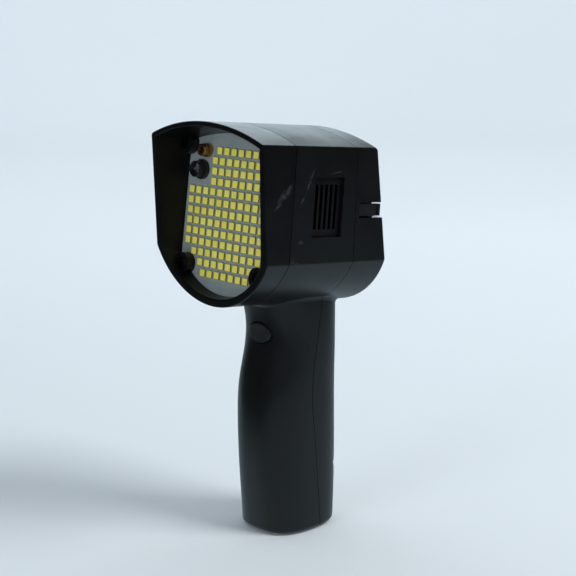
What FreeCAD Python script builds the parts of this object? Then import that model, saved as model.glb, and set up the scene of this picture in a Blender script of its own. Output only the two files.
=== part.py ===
"""Hand-held LED timing light: a pistol-shaped stroboscope, one solid per physical piece.

Units are millimetres. The base of the handle stands on z = 0, +Z is up, the light leaves
towards -Y and +X is the side that carries the charging port. Three tilted frames are used:
SHELL for the head's mouldings, BOARD for the LED board and REAR for the display side.
In each of them x is the object's x, y runs towards the back and z runs up.
"""
import FreeCAD, Part
import math
import os

V = FreeCAD.Vector
UP = V(0, 0, 1)
BACK = V(0, 1, 0)
SIDE = V(1, 0, 0)

# ---- head mouldings -------------------------------------------------------------------
HEAD_HALF_WIDTH = 39.6
HEAD_SHOULDER = 36.4          # where the flat side meets the shallow arched top
CROWN_RISE = 8.2              # height of that arch
HEAD_WAIST = -17.6            # where the flat side meets the round belly
BELLY_DEPTH = 24.8
HEAD_ORIGIN = V(0, -38.3, 161.3)
SHELL_PITCH = 5.45            # the head looks up by this angle
BOARD_PITCH = 7.45
RIM_Y = -13.4
RIM_SLOPE = -0.135            # the brow reaches further forward than the chin
HOOD_SEAM_Y = 2.6
GASKET = 0.4
REAR_Y = 65.2
REAR_SLOPE = -0.209
WALL = 2.2
EDGE_FILLET = 2.0             # along the shoulders, the waist and round the back
RIM_FILLET = 0.7
REACH = 120.0                 # half size of cutting blocks, larger than the object's half height

# ---- handle ---------------------------------------------------------------------------
HANDLE_HALF_WIDTH = 20.0
HANDLE_SQUARENESS = 2.65      # exponent of the oval section, 2 is an ellipse
HANDLE_STATIONS = (           # height, front, back of the grip, from the base to inside the head
    (0.0, -22.6, 21.7),
    (16.0, -23.7, 22.7),
    (36.0, -25.2, 23.2),
    (60.0, -25.8, 23.1),
    (76.0, -24.5, 22.9),
    (90.0, -20.9, 22.8),
    (101.0, -19.2, 22.7),
    (113.0, -20.8, 22.9),
    (131.0, -22.6, 23.2),
)
BASE_FILLET = 2.8
NECK_FILLET = 3.0
BASE_FLOOR = 3.0
SECTION_POINTS = 28

# ---- parting line between the front and the rear housing -------------------------------
PART_BASE = (3.6, 0.0)        # y, z of the line at the base
PART_LOW = (-1.2, 54.0)
PART_BOW = (-2.5, 71.0)
PART_HIGH = (-1.4, 85.0)
PART_NECK = (3.6, 115.0)
PART_TOP_Y = 8.6
PART_TOP_Z = 213.0
SEAM_GAP = 0.3
TONGUE_INSET = 1.15
TONGUE_LENGTH = 1.2
TONGUE_CLEARANCE = 0.15

# ---- LED board --------------------------------------------------------------------------
BOARD_THICKNESS = 1.6
BOARD_SIDE_INSET = 4.4
BOARD_ARC_INSET = 3.4
POCKET_CLEARANCE = 0.3
FUNNEL_SIDE_INSET = 8.1       # the hood's inner walls close in to this at the board
FUNNEL_ARC_INSET = 5.4
LIP = 2.2                     # wall of the hood at its rim
FUNNEL_MOUTH_Y = -20.0
LED_PITCH_X = 5.08
LED_PITCH_Z = 4.93
LED_TOP_ROW_Z = 30.5
LED_MIDDLE_COLUMN = 6.5
LED_WIDTH = 3.7
LED_HEIGHT = 3.4
LED_THICKNESS = 0.8
LED_ROWS = (                  # first column and number of LEDs in each row, from the top
    (4.5, 7), (4, 9), (4, 9), (4, 9), (1, 12), (1, 12), (1, 12),
    (1, 12), (1, 12), (1, 12), (2, 10), (3, 8), (3.5, 7),
)
HOOD_SCREW_PLACES = ((26.9, -25.4), (31.4, 32.6))
HOOD_BOSS_RADIUS = 5.2
HOOD_BOSS_FRONT = -4.6
HOOD_BOSS_SEAT = -2.2
HOUSING_BOSS_RADIUS = 5.0
HOUSING_BOSS_DEPTH = 13.0

# ---- screws -----------------------------------------------------------------------------
M3_RADIUS = 1.5
M3_HEAD_RADIUS = 2.7
M3_HEAD_HEIGHT = 1.8
M25_RADIUS = 1.25
M25_HEAD_RADIUS = 2.25
M25_HEAD_HEIGHT = 1.6
SCREW_CLEARANCE = 0.3
THREAD_CLEARANCE = 0.02
DRIVE_RADIUS = 1.0
DRIVE_DEPTH = 0.9
CASE_BOSS_RADIUS = 3.8
CASE_SCREW_SEAT = 50.0        # where the heads of the head's rear screws sit, in the SHELL frame
CASE_SCREW_LENGTH = 14.0
CASE_SCREW_INSETS = (5.4, 11.1)  # how far the upper and lower screws are inside the head's side
CASE_SCREW_PLACES = ((HEAD_HALF_WIDTH - CASE_SCREW_INSETS[0], 31.0), (HEAD_HALF_WIDTH - CASE_SCREW_INSETS[1], -26.5))
GRIP_SCREW_SEAT = 7.0         # y of the screw heads' seats in the handle
GRIP_SCREW_X = 14.2
GRIP_SCREW_Z = 30.0
CASE_BOSS_START = 35.0

# ---- optics in the corner of the board ----------------------------------------------------
LASER_PLACE = (-19.0, 30.1)
LASER_RADIUS = 3.0
LASER_COLLAR_RADIUS = 3.4
LASER_FRONT = -5.2
LASER_BACK = 9.0
LASER_BORE = 1.9
LASER_MOUTH = 1.1
TUBE_PLACE = (-22.0, 20.7)
TUBE_RADIUS = 3.9
TUBE_BORE = 2.7
TUBE_FLANGE_RADIUS = 4.85
TUBE_FLANGE = 1.9
TUBE_FRONT = -5.5
TUBE_BACK = 6.0
OPTIC_CLEARANCE = 0.15

# ---- heat sink --------------------------------------------------------------------------
SINK_HALF_WIDTH = 21.0
SINK_BOTTOM = -30.0
SINK_TOP = 12.0
SINK_PLATE = 3.0
SINK_FIN_DEPTH = 11.0
SINK_FIN = 1.2
SINK_FINS = 9

# ---- side vents ---------------------------------------------------------------------------
VENT_Y = 25.5
VENT_Z = 8.7
VENT_LENGTH = 19.4
VENT_HEIGHT = 28.0
VENT_DEPTH = 1.9
VENT_PAD = 4.2
VENT_PAD_MARGIN = 2.0
SLOT_COUNT = 5
SLOT_PITCH = 3.17
SLOT_WIDTH = 1.9
SLOT_HEIGHT = 21.0
GAUZE = 0.5

# ---- charging port ------------------------------------------------------------------------
PORT_FRONT_Y = 46.4
PORT_Z = 7.1
PORT_HEIGHT = 7.4
PORT_DEPTH = 7.4
PORT_WALL = 1.8
COVER_RECESS = 1.0            # how far the cover's face lies inside the flat of the side
COVER_THICKNESS = 2.2
COVER_HEIGHT = 5.8
COVER_FRONT_GAP = 0.5
COVER_REAR_INSET = 0.5
COVER_PIN_RADIUS = 0.7
COVER_PIN_CLEARANCE = 0.06
JACK_LENGTH = 9.0
JACK_HEIGHT = 3.3
JACK_DEPTH = 5.4
JACK_WALL = 0.4
JACK_PROUD = 0.6
JACK_OFFSET_Y = 8.6           # from the front of the pocket to the middle of the jack

# ---- trigger ------------------------------------------------------------------------------
TRIGGER_Z = 101.9
TRIGGER_HALF_WIDTH = 7.6
TRIGGER_HALF_HEIGHT = 4.8
TRIGGER_GAP = 0.7
TRIGGER_PROUD = 0.7
TRIGGER_TRAVEL = 1.5
TRIGGER_LEDGE = 1.3
TRIGGER_FLANGE_Y = -13.8
TRIGGER_FLANGE = 1.2
TRIGGER_STEM_RADIUS = 1.6
TRIGGER_STEM = 0.6
TRIGGER_BOARD_Y = -6.75
TRIGGER_BOARD = 1.2
TRIGGER_BOARD_HALF_WIDTH = 8.0
TRIGGER_BOARD_HALF_HEIGHT = 8.5
TRIGGER_RAIL_LAP = 1.2
TRIGGER_RAIL_WALL = 1.6
SPRING_RADIUS = 4.8
SPRING_WIRE = 0.25
SPRING_HALF_TURNS = 8

# ---- tactile switches -----------------------------------------------------------------------
TACT_SIZE = 6.0
TACT_BODY = 3.1
TACT_PLUNGER = 0.5
TACT_PLUNGER_RADIUS = 1.7

# ---- display side, in the REAR frame --------------------------------------------------------
DISPLAY_Z = 15.0
WINDOW_WIDTH = 50.0
WINDOW_HEIGHT = 28.0
WINDOW_THICKNESS = 1.0
WINDOW_SUNK = 0.15
VIEW_WIDTH = 44.0
VIEW_HEIGHT = 22.0
PANEL_WIDTH = 47.0
PANEL_HEIGHT = 25.0
PANEL_THICKNESS = 2.0
BEZEL_WIDTH = 52.0
BEZEL_HEIGHT = 30.0
BEZEL_GAP = 0.3               # between the display panel and the inside of the rear wall
BEZEL_FRONT = -WALL - BEZEL_GAP
BACKLIGHT_THICKNESS = 3.0
MAIN_BOARD_Y = -8.8
MAIN_BOARD_CLEARANCE = 0.4    # between the board's edge and the charging jack
MAIN_BOARD_TOP = 37.0
MAIN_BOARD_KNEE = -14.0
MAIN_BOARD_BOTTOM = -30.0
MAIN_BOARD_FOOT = 19.0
BOARD_POST_RADIUS = 2.7
BOARD_SCREW_PLACES = ((24.0, 34.0), (23.9, -15.2))
KEY_WIDTH = 11.0
KEY_HEIGHT = 7.6
KEY_GAP = 0.35
KEY_PROUD = 1.3
KEY_LEDGE = 1.0
KEY_FLANGE = 1.0
KEY_FLANGE_GAP = 0.3
KEY_STEM_RADIUS = 1.4
KEY_TRAVEL = 0.8
KEY_STOP = 0.2
KEY_EDGE = 0.7
KEY_PLACES = (
    ("key_power", -16.5, -8.0),
    ("key_mode", 0.0, -8.0),
    ("key_up", 16.5, -8.0),
    ("key_halve", -16.5, -22.5),
    ("key_double", 0.0, -22.5),
    ("key_down", 16.5, -22.5),
)

# ---- cells in the handle ----------------------------------------------------------------------
CELL_RADIUS = 9.2
CELL_LENGTH = 64.0
CELL_NUB_RADIUS = 3.0
CELL_NUB = 1.2
CELL_SPACING = 19.6
HOLDER_WALL = 1.5
HOLDER_DEPTH = 10.1
HOLDER_CLEARANCE = 0.3
HOLDER_INSET = 0.8
HOLDER_GAP = 0.8              # above and below the holder
HOLDER_END_REACH = 6.6
CONTACT_HALF = 4.0
CONTACT = 0.4
CONTACT_BUMP = 2.2

# ---- tripod thread in the base -----------------------------------------------------------------
TRIPOD_Y = -9.0
TRIPOD_RADIUS = 3.175         # a quarter inch camera thread
TRIPOD_OUTER = 4.8
TRIPOD_LENGTH = 5.0
TRIPOD_WALL = 2.0

# ---- leads --------------------------------------------------------------------------------------
LEAD_RADIUS = 0.75
LEAD_BEND = 5.0
LEAD_APART = 5.3
LEAD_Y = 7.0
LEAD_LIFT = 12.0              # straight run between a board and the first bend

# ---- values worked out from the above --------------------------------------------------------
TOP_RADIUS = (HEAD_HALF_WIDTH ** 2 + CROWN_RISE ** 2) / (2 * CROWN_RISE)
TOP_CENTRE = HEAD_SHOULDER + CROWN_RISE - TOP_RADIUS
BELLY_RADIUS = (HEAD_HALF_WIDTH ** 2 + BELLY_DEPTH ** 2) / (2 * BELLY_DEPTH)
BELLY_CENTRE = HEAD_WAIST - BELLY_DEPTH + BELLY_RADIUS
REAR_TILT = math.degrees(math.atan(-REAR_SLOPE))
HANDLE_TOP = HANDLE_STATIONS[-1][0]
TRIPOD_BOSS_TOP = TRIPOD_LENGTH + TRIPOD_WALL
HOLDER_LOW = TRIPOD_BOSS_TOP + HOLDER_GAP + HOLDER_WALL
CELL_FLOOR = HOLDER_LOW + CONTACT_BUMP
HOLDER_HIGH = CELL_FLOOR + CELL_LENGTH + CELL_NUB + CONTACT
GRIP_TOP_SCREW_Z = HOLDER_HIGH + HOLDER_WALL + HOLDER_GAP + CASE_BOSS_RADIUS
GRIP_SCREW_PLACES = ((-GRIP_SCREW_X, GRIP_SCREW_Z), (GRIP_SCREW_X, GRIP_SCREW_Z), (0.0, GRIP_TOP_SCREW_Z))
PORT_FLOOR = HEAD_HALF_WIDTH - PORT_DEPTH
MAIN_BOARD_HALF_WIDTH = PORT_FLOOR + JACK_PROUD - JACK_DEPTH - MAIN_BOARD_CLEARANCE


def make_frame(origin, pitch):
    """Placement of a frame whose y axis points backwards and down by pitch degrees."""
    return FreeCAD.Placement(origin, FreeCAD.Rotation(SIDE, -pitch))


SHELL = make_frame(HEAD_ORIGIN, SHELL_PITCH)
BOARD = make_frame(HEAD_ORIGIN, BOARD_PITCH)
REAR = make_frame(SHELL.multVec(V(0, REAR_Y, 0)), SHELL_PITCH - REAR_TILT)


# ---- general helpers ------------------------------------------------------------------------------
def placed(shape, frame):
    """The shape moved out of a tilted frame into the object's own."""
    result = shape.copy()
    result.Placement = frame.multiply(result.Placement)
    return result


def box(low, high):
    size = [b - a for a, b in zip(low, high)]
    return Part.makeBox(*size, V(*low))


def block(width, height, y0, y1, x=0.0, z=0.0):
    """A box centred on x and z that runs from y0 to y1."""
    return box((x - width / 2, y0, z - height / 2), (x + width / 2, y1, z + height / 2))


def rod(radius, y0, y1, x=0.0, z=0.0):
    """A cylinder along y."""
    return Part.makeCylinder(radius, y1 - y0, V(x, y0, z), BACK)


def join(shapes):
    """One solid made of shapes that touch or overlap."""
    shapes = list(shapes)
    return shapes[0].fuse(shapes[1:]).removeSplitter()


def group(shapes):
    """Separate solids kept together in one node."""
    return Part.makeCompound(list(shapes))


def both_sides(places):
    return [(side * x, z) for x, z in places for side in (-1, 1)]


def prism(points, x0, x1):
    """A polygon of (y, z) points drawn out along x."""
    wire = Part.makePolygon([V(x0, y, z) for y, z in points + points[:1]])
    return Part.Face(wire).extrude(V(x1 - x0, 0, 0))


def pill(width, height, y0, y1, x=0.0, z=0.0):
    """A bar with round ends, standing along y."""
    radius = height / 2
    half = width / 2 - radius
    low_left, low_right = V(x - half, y0, z - radius), V(x + half, y0, z - radius)
    high_left, high_right = V(x - half, y0, z + radius), V(x + half, y0, z + radius)
    edges = [
        Part.makeLine(low_left, low_right),
        Part.Arc(low_right, V(x + half + radius, y0, z), high_right).toShape(),
        Part.makeLine(high_right, high_left),
        Part.Arc(high_left, V(x - half - radius, y0, z), low_left).toShape(),
    ]
    return Part.Face(Part.Wire(edges)).extrude(V(0, y1 - y0, 0))


def oval(half_width, half_height, y0, y1, z):
    """An elliptical prism along y."""
    curve = Part.Ellipse(V(half_width, y0, z), V(0, y0, z + half_height), V(0, y0, z))
    return Part.Face(Part.Wire(curve.toShape())).extrude(V(0, y1 - y0, 0))


def edges_where(shape, test):
    return [edge for edge in shape.Edges if test(edge)]


def screw(radius, head_radius, head_height, seat, tip, x, z):
    """A pan-head screw along y: the head starts at seat and the shank runs on to tip."""
    outwards = 1 if seat > tip else -1
    shank = rod(radius, min(seat, tip), max(seat, tip), x, z)
    top = seat + outwards * head_height
    head = rod(head_radius, min(seat, top), max(seat, top), x, z)
    head = head.makeFillet(head_height * 0.45, edges_where(
        head, lambda e: abs(e.CenterOfMass.y - top) < 1e-6 and len(e.Vertexes) == 1))
    slot_end = top - outwards * DRIVE_DEPTH
    slots = [block(2 * DRIVE_RADIUS * a, 2 * DRIVE_RADIUS * b, min(slot_end, top), max(slot_end, top), x, z)
             for a, b in ((1.6, 0.45), (0.45, 1.6))]
    return shank.fuse(head).cut(slots[0].fuse(slots[1]))


# ---- outer form -----------------------------------------------------------------------------------
def head_wire(y, side_inset=0.0, arc_inset=0.0):
    """The head's section at y: flat sides, a shallow arch on top and a round belly."""
    half = HEAD_HALF_WIDTH - side_inset
    top = TOP_RADIUS - arc_inset
    belly = BELLY_RADIUS - arc_inset
    shoulder = TOP_CENTRE + math.sqrt(top ** 2 - half ** 2)
    waist = BELLY_CENTRE - math.sqrt(belly ** 2 - half ** 2)
    left_low, left_high = V(-half, y, waist), V(-half, y, shoulder)
    right_low, right_high = V(half, y, waist), V(half, y, shoulder)
    return Part.Wire([
        Part.makeLine(left_low, left_high),
        Part.Arc(left_high, V(0, y, TOP_CENTRE + top), right_high).toShape(),
        Part.makeLine(right_high, right_low),
        Part.Arc(right_low, V(0, y, BELLY_CENTRE - belly), left_low).toShape(),
    ])


def head_prism(y0, y1, side_inset=0.0, arc_inset=0.0):
    return Part.Face(head_wire(y0, side_inset, arc_inset)).extrude(V(0, y1 - y0, 0))


def slab(y0, slope0, y1, slope1):
    """The space between two planes that lean by the given slopes dy/dz."""
    points = [(y0 - slope0 * REACH, -REACH), (y0 + slope0 * REACH, REACH),
              (y1 + slope1 * REACH, REACH), (y1 - slope1 * REACH, -REACH)]
    return prism(points, -REACH, REACH)


def head_solid(inset, front_y):
    """The head from front_y to its leaning back, smaller by inset all round except in front."""
    solid = head_prism(front_y, REACH, inset, inset)
    return solid.common(slab(-REACH, 0, REAR_Y - inset, REAR_SLOPE))


def grip_wire(height, front, back, inset):
    """Oval section of the handle, a superellipse."""
    half = HANDLE_HALF_WIDTH - inset
    middle = (front + back) / 2
    depth = (back - front) / 2 - inset
    power = 2 / HANDLE_SQUARENESS
    points = []
    for i in range(SECTION_POINTS):
        turn = 2 * math.pi * i / SECTION_POINTS
        c, s = math.cos(turn), math.sin(turn)
        x = math.copysign(half * abs(c) ** power, c)
        y = middle + math.copysign(depth * abs(s) ** power, s)
        points.append(V(x, y, height))
    curve = Part.BSplineCurve()
    curve.interpolate(points, PeriodicFlag=True)
    return Part.Wire(curve.toShape())


def handle_solid(inset, floor=0.0):
    """The handle, smaller by inset all round, cut off at floor."""
    wires = [grip_wire(z, front, back, inset) for z, front, back in HANDLE_STATIONS]
    solid = Part.makeLoft(wires, True, False)
    if floor > 0:
        solid = solid.cut(box((-REACH, -REACH, -REACH), (REACH, REACH, floor)))
    return solid


def rear_region(shift=0.0):
    """Everything behind the parting line, moved back by shift."""
    def point(place):
        return V(-REACH, place[0] + shift, place[1])

    slope = (PART_BASE[0] - PART_LOW[0]) / (PART_BASE[1] - PART_LOW[1])
    below = point((PART_BASE[0] - slope * REACH, PART_BASE[1] - REACH))
    low, bow, high, neck = (point(p) for p in (PART_LOW, PART_BOW, PART_HIGH, PART_NECK))
    top = point((PART_TOP_Y, PART_TOP_Z))
    far_top = V(-REACH, REACH, top.z)
    far_low = V(-REACH, REACH, below.z)
    wire = Part.Wire([
        Part.makeLine(below, low),
        Part.Arc(low, bow, high).toShape(),
        Part.makeLine(high, neck),
        Part.makeLine(neck, top),
        Part.makeLine(top, far_top),
        Part.makeLine(far_top, far_low),
        Part.makeLine(far_low, below),
    ])
    return Part.Face(wire).extrude(V(2 * REACH, 0, 0))


def case_form(inset, floor=0.0):
    """Head and handle together, smaller by inset."""
    head = placed(head_solid(inset, HOOD_SEAM_Y + GASKET), SHELL)
    return join([head, handle_solid(inset, floor)])


def long_edges(head):
    """The four edges that run along the head at the shoulders and the waist."""
    return edges_where(head, lambda e: abs(abs(e.CenterOfMass.x) - HEAD_HALF_WIDTH) < 0.01
                       and e.BoundBox.YLength > e.BoundBox.ZLength)


def edges_on_plane(shape, y, slope):
    """The edges whose ends all lie on a leaning plane."""
    return edges_where(shape, lambda e: all(abs(v.Y - y - slope * v.Z) < 0.01 for v in e.Vertexes))


def outer_form():
    """The outside of the two housings with its rounded edges."""
    head = head_solid(0, HOOD_SEAM_Y + GASKET)
    head = head.makeFillet(EDGE_FILLET, long_edges(head) + edges_on_plane(head, REAR_Y, REAR_SLOPE))
    handle = handle_solid(0)
    foot = edges_where(handle, lambda e: e.BoundBox.ZMax < 0.01)
    handle = handle.makeFillet(BASE_FILLET, foot)
    form = join([placed(head, SHELL), handle])
    neck = edges_where(form, is_neck_edge)
    return form.makeFillet(NECK_FILLET, neck)


def is_neck_edge(edge):
    """True for the edges where the handle runs into the head's belly."""
    bounds = edge.BoundBox
    inside = abs(bounds.XMax) < HANDLE_HALF_WIDTH + 1 and abs(bounds.XMin) < HANDLE_HALF_WIDTH + 1
    heights = bounds.ZMin > HANDLE_STATIONS[-3][0] and bounds.ZMax < HANDLE_TOP
    return inside and heights and bounds.YMax < HANDLE_STATIONS[-1][2] + 2


# ---- head ---------------------------------------------------------------------------------------------
def funnel():
    """The hollow in front of the board: it narrows from the rim to the board."""
    mouth = head_wire(FUNNEL_MOUTH_Y, LIP, LIP)
    throat = head_wire(HOOD_SEAM_Y, FUNNEL_SIDE_INSET, FUNNEL_ARC_INSET)
    return Part.makeLoft([mouth, throat], True, True)


def make_front_hood():
    outer = head_prism(-REACH / 2, HOOD_SEAM_Y).common(slab(RIM_Y, RIM_SLOPE, REACH, 0))
    hood = outer.makeFillet(EDGE_FILLET, long_edges(outer)).cut(funnel())
    hood = hood.makeFillet(RIM_FILLET, edges_on_plane(hood, RIM_Y, RIM_SLOPE))
    hood = placed(hood, SHELL)
    inside = placed(head_prism(-REACH / 2, HOOD_SEAM_Y, LIP / 2, LIP / 2), SHELL)
    for x, z in both_sides(HOOD_SCREW_PLACES):
        boss = placed(rod(HOOD_BOSS_RADIUS, HOOD_BOSS_FRONT, BOARD_THICKNESS, x, z), BOARD)
        hood = hood.fuse(boss.common(inside))
    pocket = head_prism(0, REACH / 4, BOARD_SIDE_INSET - POCKET_CLEARANCE, BOARD_ARC_INSET - POCKET_CLEARANCE)
    hood = hood.cut(placed(pocket, BOARD))
    for x, z in both_sides(HOOD_SCREW_PLACES):
        hood = hood.cut(placed(rod(M3_RADIUS + SCREW_CLEARANCE, HOOD_BOSS_FRONT - 1, 1, x, z), BOARD))
        bore = rod(M3_HEAD_RADIUS + SCREW_CLEARANCE, HOOD_BOSS_FRONT - 1, HOOD_BOSS_SEAT, x, z)
        hood = hood.cut(placed(bore, BOARD))
    return hood


def make_hood_gasket():
    outer = head_prism(HOOD_SEAM_Y, HOOD_SEAM_Y + GASKET, 0.5, 0.5)
    inner = head_prism(HOOD_SEAM_Y - 1, HOOD_SEAM_Y + 1, WALL, WALL)
    return placed(outer.cut(inner), SHELL)


def make_hood_screws():
    tip = BOARD_THICKNESS + HOUSING_BOSS_DEPTH * 0.7
    screws = [screw(M3_RADIUS, M3_HEAD_RADIUS, M3_HEAD_HEIGHT, HOOD_BOSS_SEAT, tip, x, z)
              for x, z in both_sides(HOOD_SCREW_PLACES)]
    return placed(group(screws), BOARD)


def make_led_board():
    board = head_prism(0, BOARD_THICKNESS, BOARD_SIDE_INSET, BOARD_ARC_INSET)
    for x, z in both_sides(HOOD_SCREW_PLACES):
        board = board.cut(rod(M3_RADIUS + SCREW_CLEARANCE, -1, BOARD_THICKNESS + 1, x, z))
    for (x, z), radius in ((LASER_PLACE, LASER_RADIUS), (TUBE_PLACE, TUBE_RADIUS)):
        board = board.cut(rod(radius + OPTIC_CLEARANCE, -1, BOARD_THICKNESS + 1, x, z))
    return placed(board, BOARD)


def make_led_array():
    leds = []
    for row, (first, count) in enumerate(LED_ROWS):
        z = LED_TOP_ROW_Z - row * LED_PITCH_Z
        for i in range(count):
            x = (first + i - LED_MIDDLE_COLUMN) * LED_PITCH_X
            leds.append(block(LED_WIDTH, LED_HEIGHT, -LED_THICKNESS, 0, x, z))
    return placed(group(leds), BOARD)


def make_heat_sink():
    height = SINK_TOP - SINK_BOTTOM
    middle = (SINK_TOP + SINK_BOTTOM) / 2
    back = BOARD_THICKNESS + SINK_PLATE
    pieces = [block(2 * SINK_HALF_WIDTH, height, BOARD_THICKNESS, back, 0, middle)]
    pitch = (2 * SINK_HALF_WIDTH - SINK_FIN) / (SINK_FINS - 1)
    for i in range(SINK_FINS):
        x = -SINK_HALF_WIDTH + SINK_FIN / 2 + i * pitch
        pieces.append(block(SINK_FIN, height, back, back + SINK_FIN_DEPTH, x, middle))
    return placed(join(pieces), BOARD)


def make_laser_barrel():
    x, z = LASER_PLACE
    barrel = rod(LASER_RADIUS, LASER_FRONT, LASER_BACK, x, z)
    collar = rod(LASER_COLLAR_RADIUS, -2.0, 0, x, z)
    groove = rod(LASER_RADIUS + 1, -3.6, -3.2, x, z).cut(rod(LASER_RADIUS - 0.25, -4, -3, x, z))
    barrel = barrel.fuse(collar).cut(groove)
    barrel = barrel.cut(rod(LASER_MOUTH, LASER_FRONT - 1, LASER_FRONT + 1.5, x, z))
    return placed(barrel.cut(rod(LASER_BORE, LASER_FRONT + 0.8, LASER_BACK + 1, x, z)), BOARD)


def make_laser_lens():
    x, z = LASER_PLACE
    lens = rod(LASER_BORE - THREAD_CLEARANCE, LASER_FRONT + 0.8, LASER_FRONT + 2.4, x, z)
    return placed(lens, BOARD)


def make_laser_diode():
    x, z = LASER_PLACE
    can = rod(LASER_BORE - THREAD_CLEARANCE, LASER_BACK - 4.0, LASER_BACK, x, z)
    legs = [rod(0.25, LASER_BACK, LASER_BACK + 3.0, x + dx, z) for dx in (-0.9, 0.9)]
    return placed(join([can] + legs), BOARD)


def make_sensor_tube():
    x, z = TUBE_PLACE
    tube = rod(TUBE_RADIUS, TUBE_FRONT, TUBE_BACK, x, z)
    flange = rod(TUBE_FLANGE_RADIUS, -TUBE_FLANGE, 0, x, z)
    return placed(tube.fuse(flange).cut(rod(TUBE_BORE, TUBE_FRONT - 1, TUBE_BACK + 1, x, z)), BOARD)


def make_sensor_lens():
    x, z = TUBE_PLACE
    radius = TUBE_BORE - THREAD_CLEARANCE
    body = rod(radius, TUBE_FRONT + 2.2, TUBE_FRONT + 3.6, x, z)
    ball_radius = 4.0
    sag = ball_radius - math.sqrt(ball_radius ** 2 - radius ** 2)
    ball = Part.makeSphere(ball_radius, V(x, TUBE_FRONT + 2.2 - sag + ball_radius, z))
    cap = ball.common(rod(radius, TUBE_FRONT, TUBE_FRONT + 2.2, x, z))
    return placed(join([body, cap]), BOARD)


def make_photodiode():
    x, z = TUBE_PLACE
    can = rod(TUBE_BORE - THREAD_CLEARANCE, TUBE_BACK - 3.5, TUBE_BACK, x, z)
    legs = [rod(0.25, TUBE_BACK, TUBE_BACK + 3.0, x + dx, z) for dx in (-1.2, 1.2)]
    return placed(join([can] + legs), BOARD)


# ---- housings -----------------------------------------------------------------------------------------
def vent_pads(side):
    """Thicker wall round one vent."""
    low = (HEAD_HALF_WIDTH - VENT_PAD, VENT_Y - VENT_LENGTH / 2 - VENT_PAD_MARGIN,
           VENT_Z - VENT_HEIGHT / 2 - VENT_PAD_MARGIN)
    high = (HEAD_HALF_WIDTH - WALL / 2, VENT_Y + VENT_LENGTH / 2 + VENT_PAD_MARGIN,
            VENT_Z + VENT_HEIGHT / 2 + VENT_PAD_MARGIN)
    return mirrored(box(low, high), side)


def vent_cuts(side):
    """The sunk panel and its slots."""
    panel = box((HEAD_HALF_WIDTH - VENT_DEPTH, VENT_Y - VENT_LENGTH / 2, VENT_Z - VENT_HEIGHT / 2),
                (HEAD_HALF_WIDTH + 1, VENT_Y + VENT_LENGTH / 2, VENT_Z + VENT_HEIGHT / 2))
    cuts = [panel]
    for i in range(SLOT_COUNT):
        y = VENT_Y + (i - (SLOT_COUNT - 1) / 2) * SLOT_PITCH
        cuts.append(box((HEAD_HALF_WIDTH - VENT_PAD - 1, y - SLOT_WIDTH / 2, VENT_Z - SLOT_HEIGHT / 2),
                        (HEAD_HALF_WIDTH, y + SLOT_WIDTH / 2, VENT_Z + SLOT_HEIGHT / 2)))
    return mirrored(join(cuts), side)


def mirrored(shape, side):
    return shape if side > 0 else shape.mirror(V(0, 0, 0), SIDE)


def make_front_housing(outer, inner):
    shell = outer.cut(inner)
    front = shell.cut(rear_region())
    ring = case_form(TONGUE_INSET, BASE_FLOOR).cut(inner)
    front = front.fuse(ring.common(rear_region().cut(rear_region(TONGUE_LENGTH))))
    additions = [placed(vent_pads(side), SHELL) for side in (-1, 1)]
    for x, z in both_sides(HOOD_SCREW_PLACES):
        boss = rod(HOUSING_BOSS_RADIUS, BOARD_THICKNESS, BOARD_THICKNESS + HOUSING_BOSS_DEPTH, x, z)
        additions.append(placed(boss, BOARD).common(solid_case()))
    for x, z in both_sides(CASE_SCREW_PLACES):
        boss = rod(CASE_BOSS_RADIUS, CASE_SCREW_SEAT - CASE_SCREW_LENGTH - 2, CASE_SCREW_SEAT, x, z)
        additions.append(placed(boss, SHELL).common(solid_case()))
    for x, z in GRIP_SCREW_PLACES:
        boss = rod(CASE_BOSS_RADIUS, -REACH, GRIP_SCREW_SEAT, x, z)
        additions.append(boss.common(handle_solid(WALL / 2)))
    additions.append(tripod_boss())
    additions.extend(trigger_rails())
    extra = join(additions).cut(rear_region())
    front = front.fuse(extra)
    front = front.cut([placed(vent_cuts(side), SHELL) for side in (-1, 1)])
    pilot = M3_RADIUS + THREAD_CLEARANCE
    for x, z in both_sides(HOOD_SCREW_PLACES):
        front = front.cut(placed(rod(pilot, 0, BOARD_THICKNESS + HOUSING_BOSS_DEPTH - 1, x, z), BOARD))
    front = front.cut(case_screw_holes())
    front = front.cut(Part.makeCylinder(TRIPOD_OUTER, TRIPOD_LENGTH, V(0, TRIPOD_Y, 0)))
    hole = oval(TRIGGER_HALF_WIDTH + TRIGGER_GAP, TRIGGER_HALF_HEIGHT + TRIGGER_GAP, -REACH,
                TRIGGER_FLANGE_Y + TRIGGER_FLANGE, TRIGGER_Z)
    return front.cut(hole)


def solid_case():
    """The inside of the case plus half its wall, which every rib and boss ends in."""
    head = head_solid(WALL / 2, HOOD_SEAM_Y + GASKET)
    return placed(head, SHELL)


def case_screw_holes():
    """Pilot holes of the screws that come in from behind."""
    pilot = M25_RADIUS + THREAD_CLEARANCE
    tip = CASE_SCREW_SEAT - CASE_SCREW_LENGTH
    holes = [placed(rod(pilot, tip - 1, CASE_SCREW_SEAT, x, z), SHELL)
             for x, z in both_sides(CASE_SCREW_PLACES)]
    tip = GRIP_SCREW_SEAT - CASE_SCREW_LENGTH
    holes += [rod(pilot, tip - 1, GRIP_SCREW_SEAT, x, z) for x, z in GRIP_SCREW_PLACES]
    return holes


def tripod_boss():
    low = Part.makeCylinder(TRIPOD_OUTER + TRIPOD_WALL, TRIPOD_LENGTH + TRIPOD_WALL / 2,
                            V(0, TRIPOD_Y, BASE_FLOOR / 2))
    return low.common(handle_solid(WALL / 2))


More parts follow.
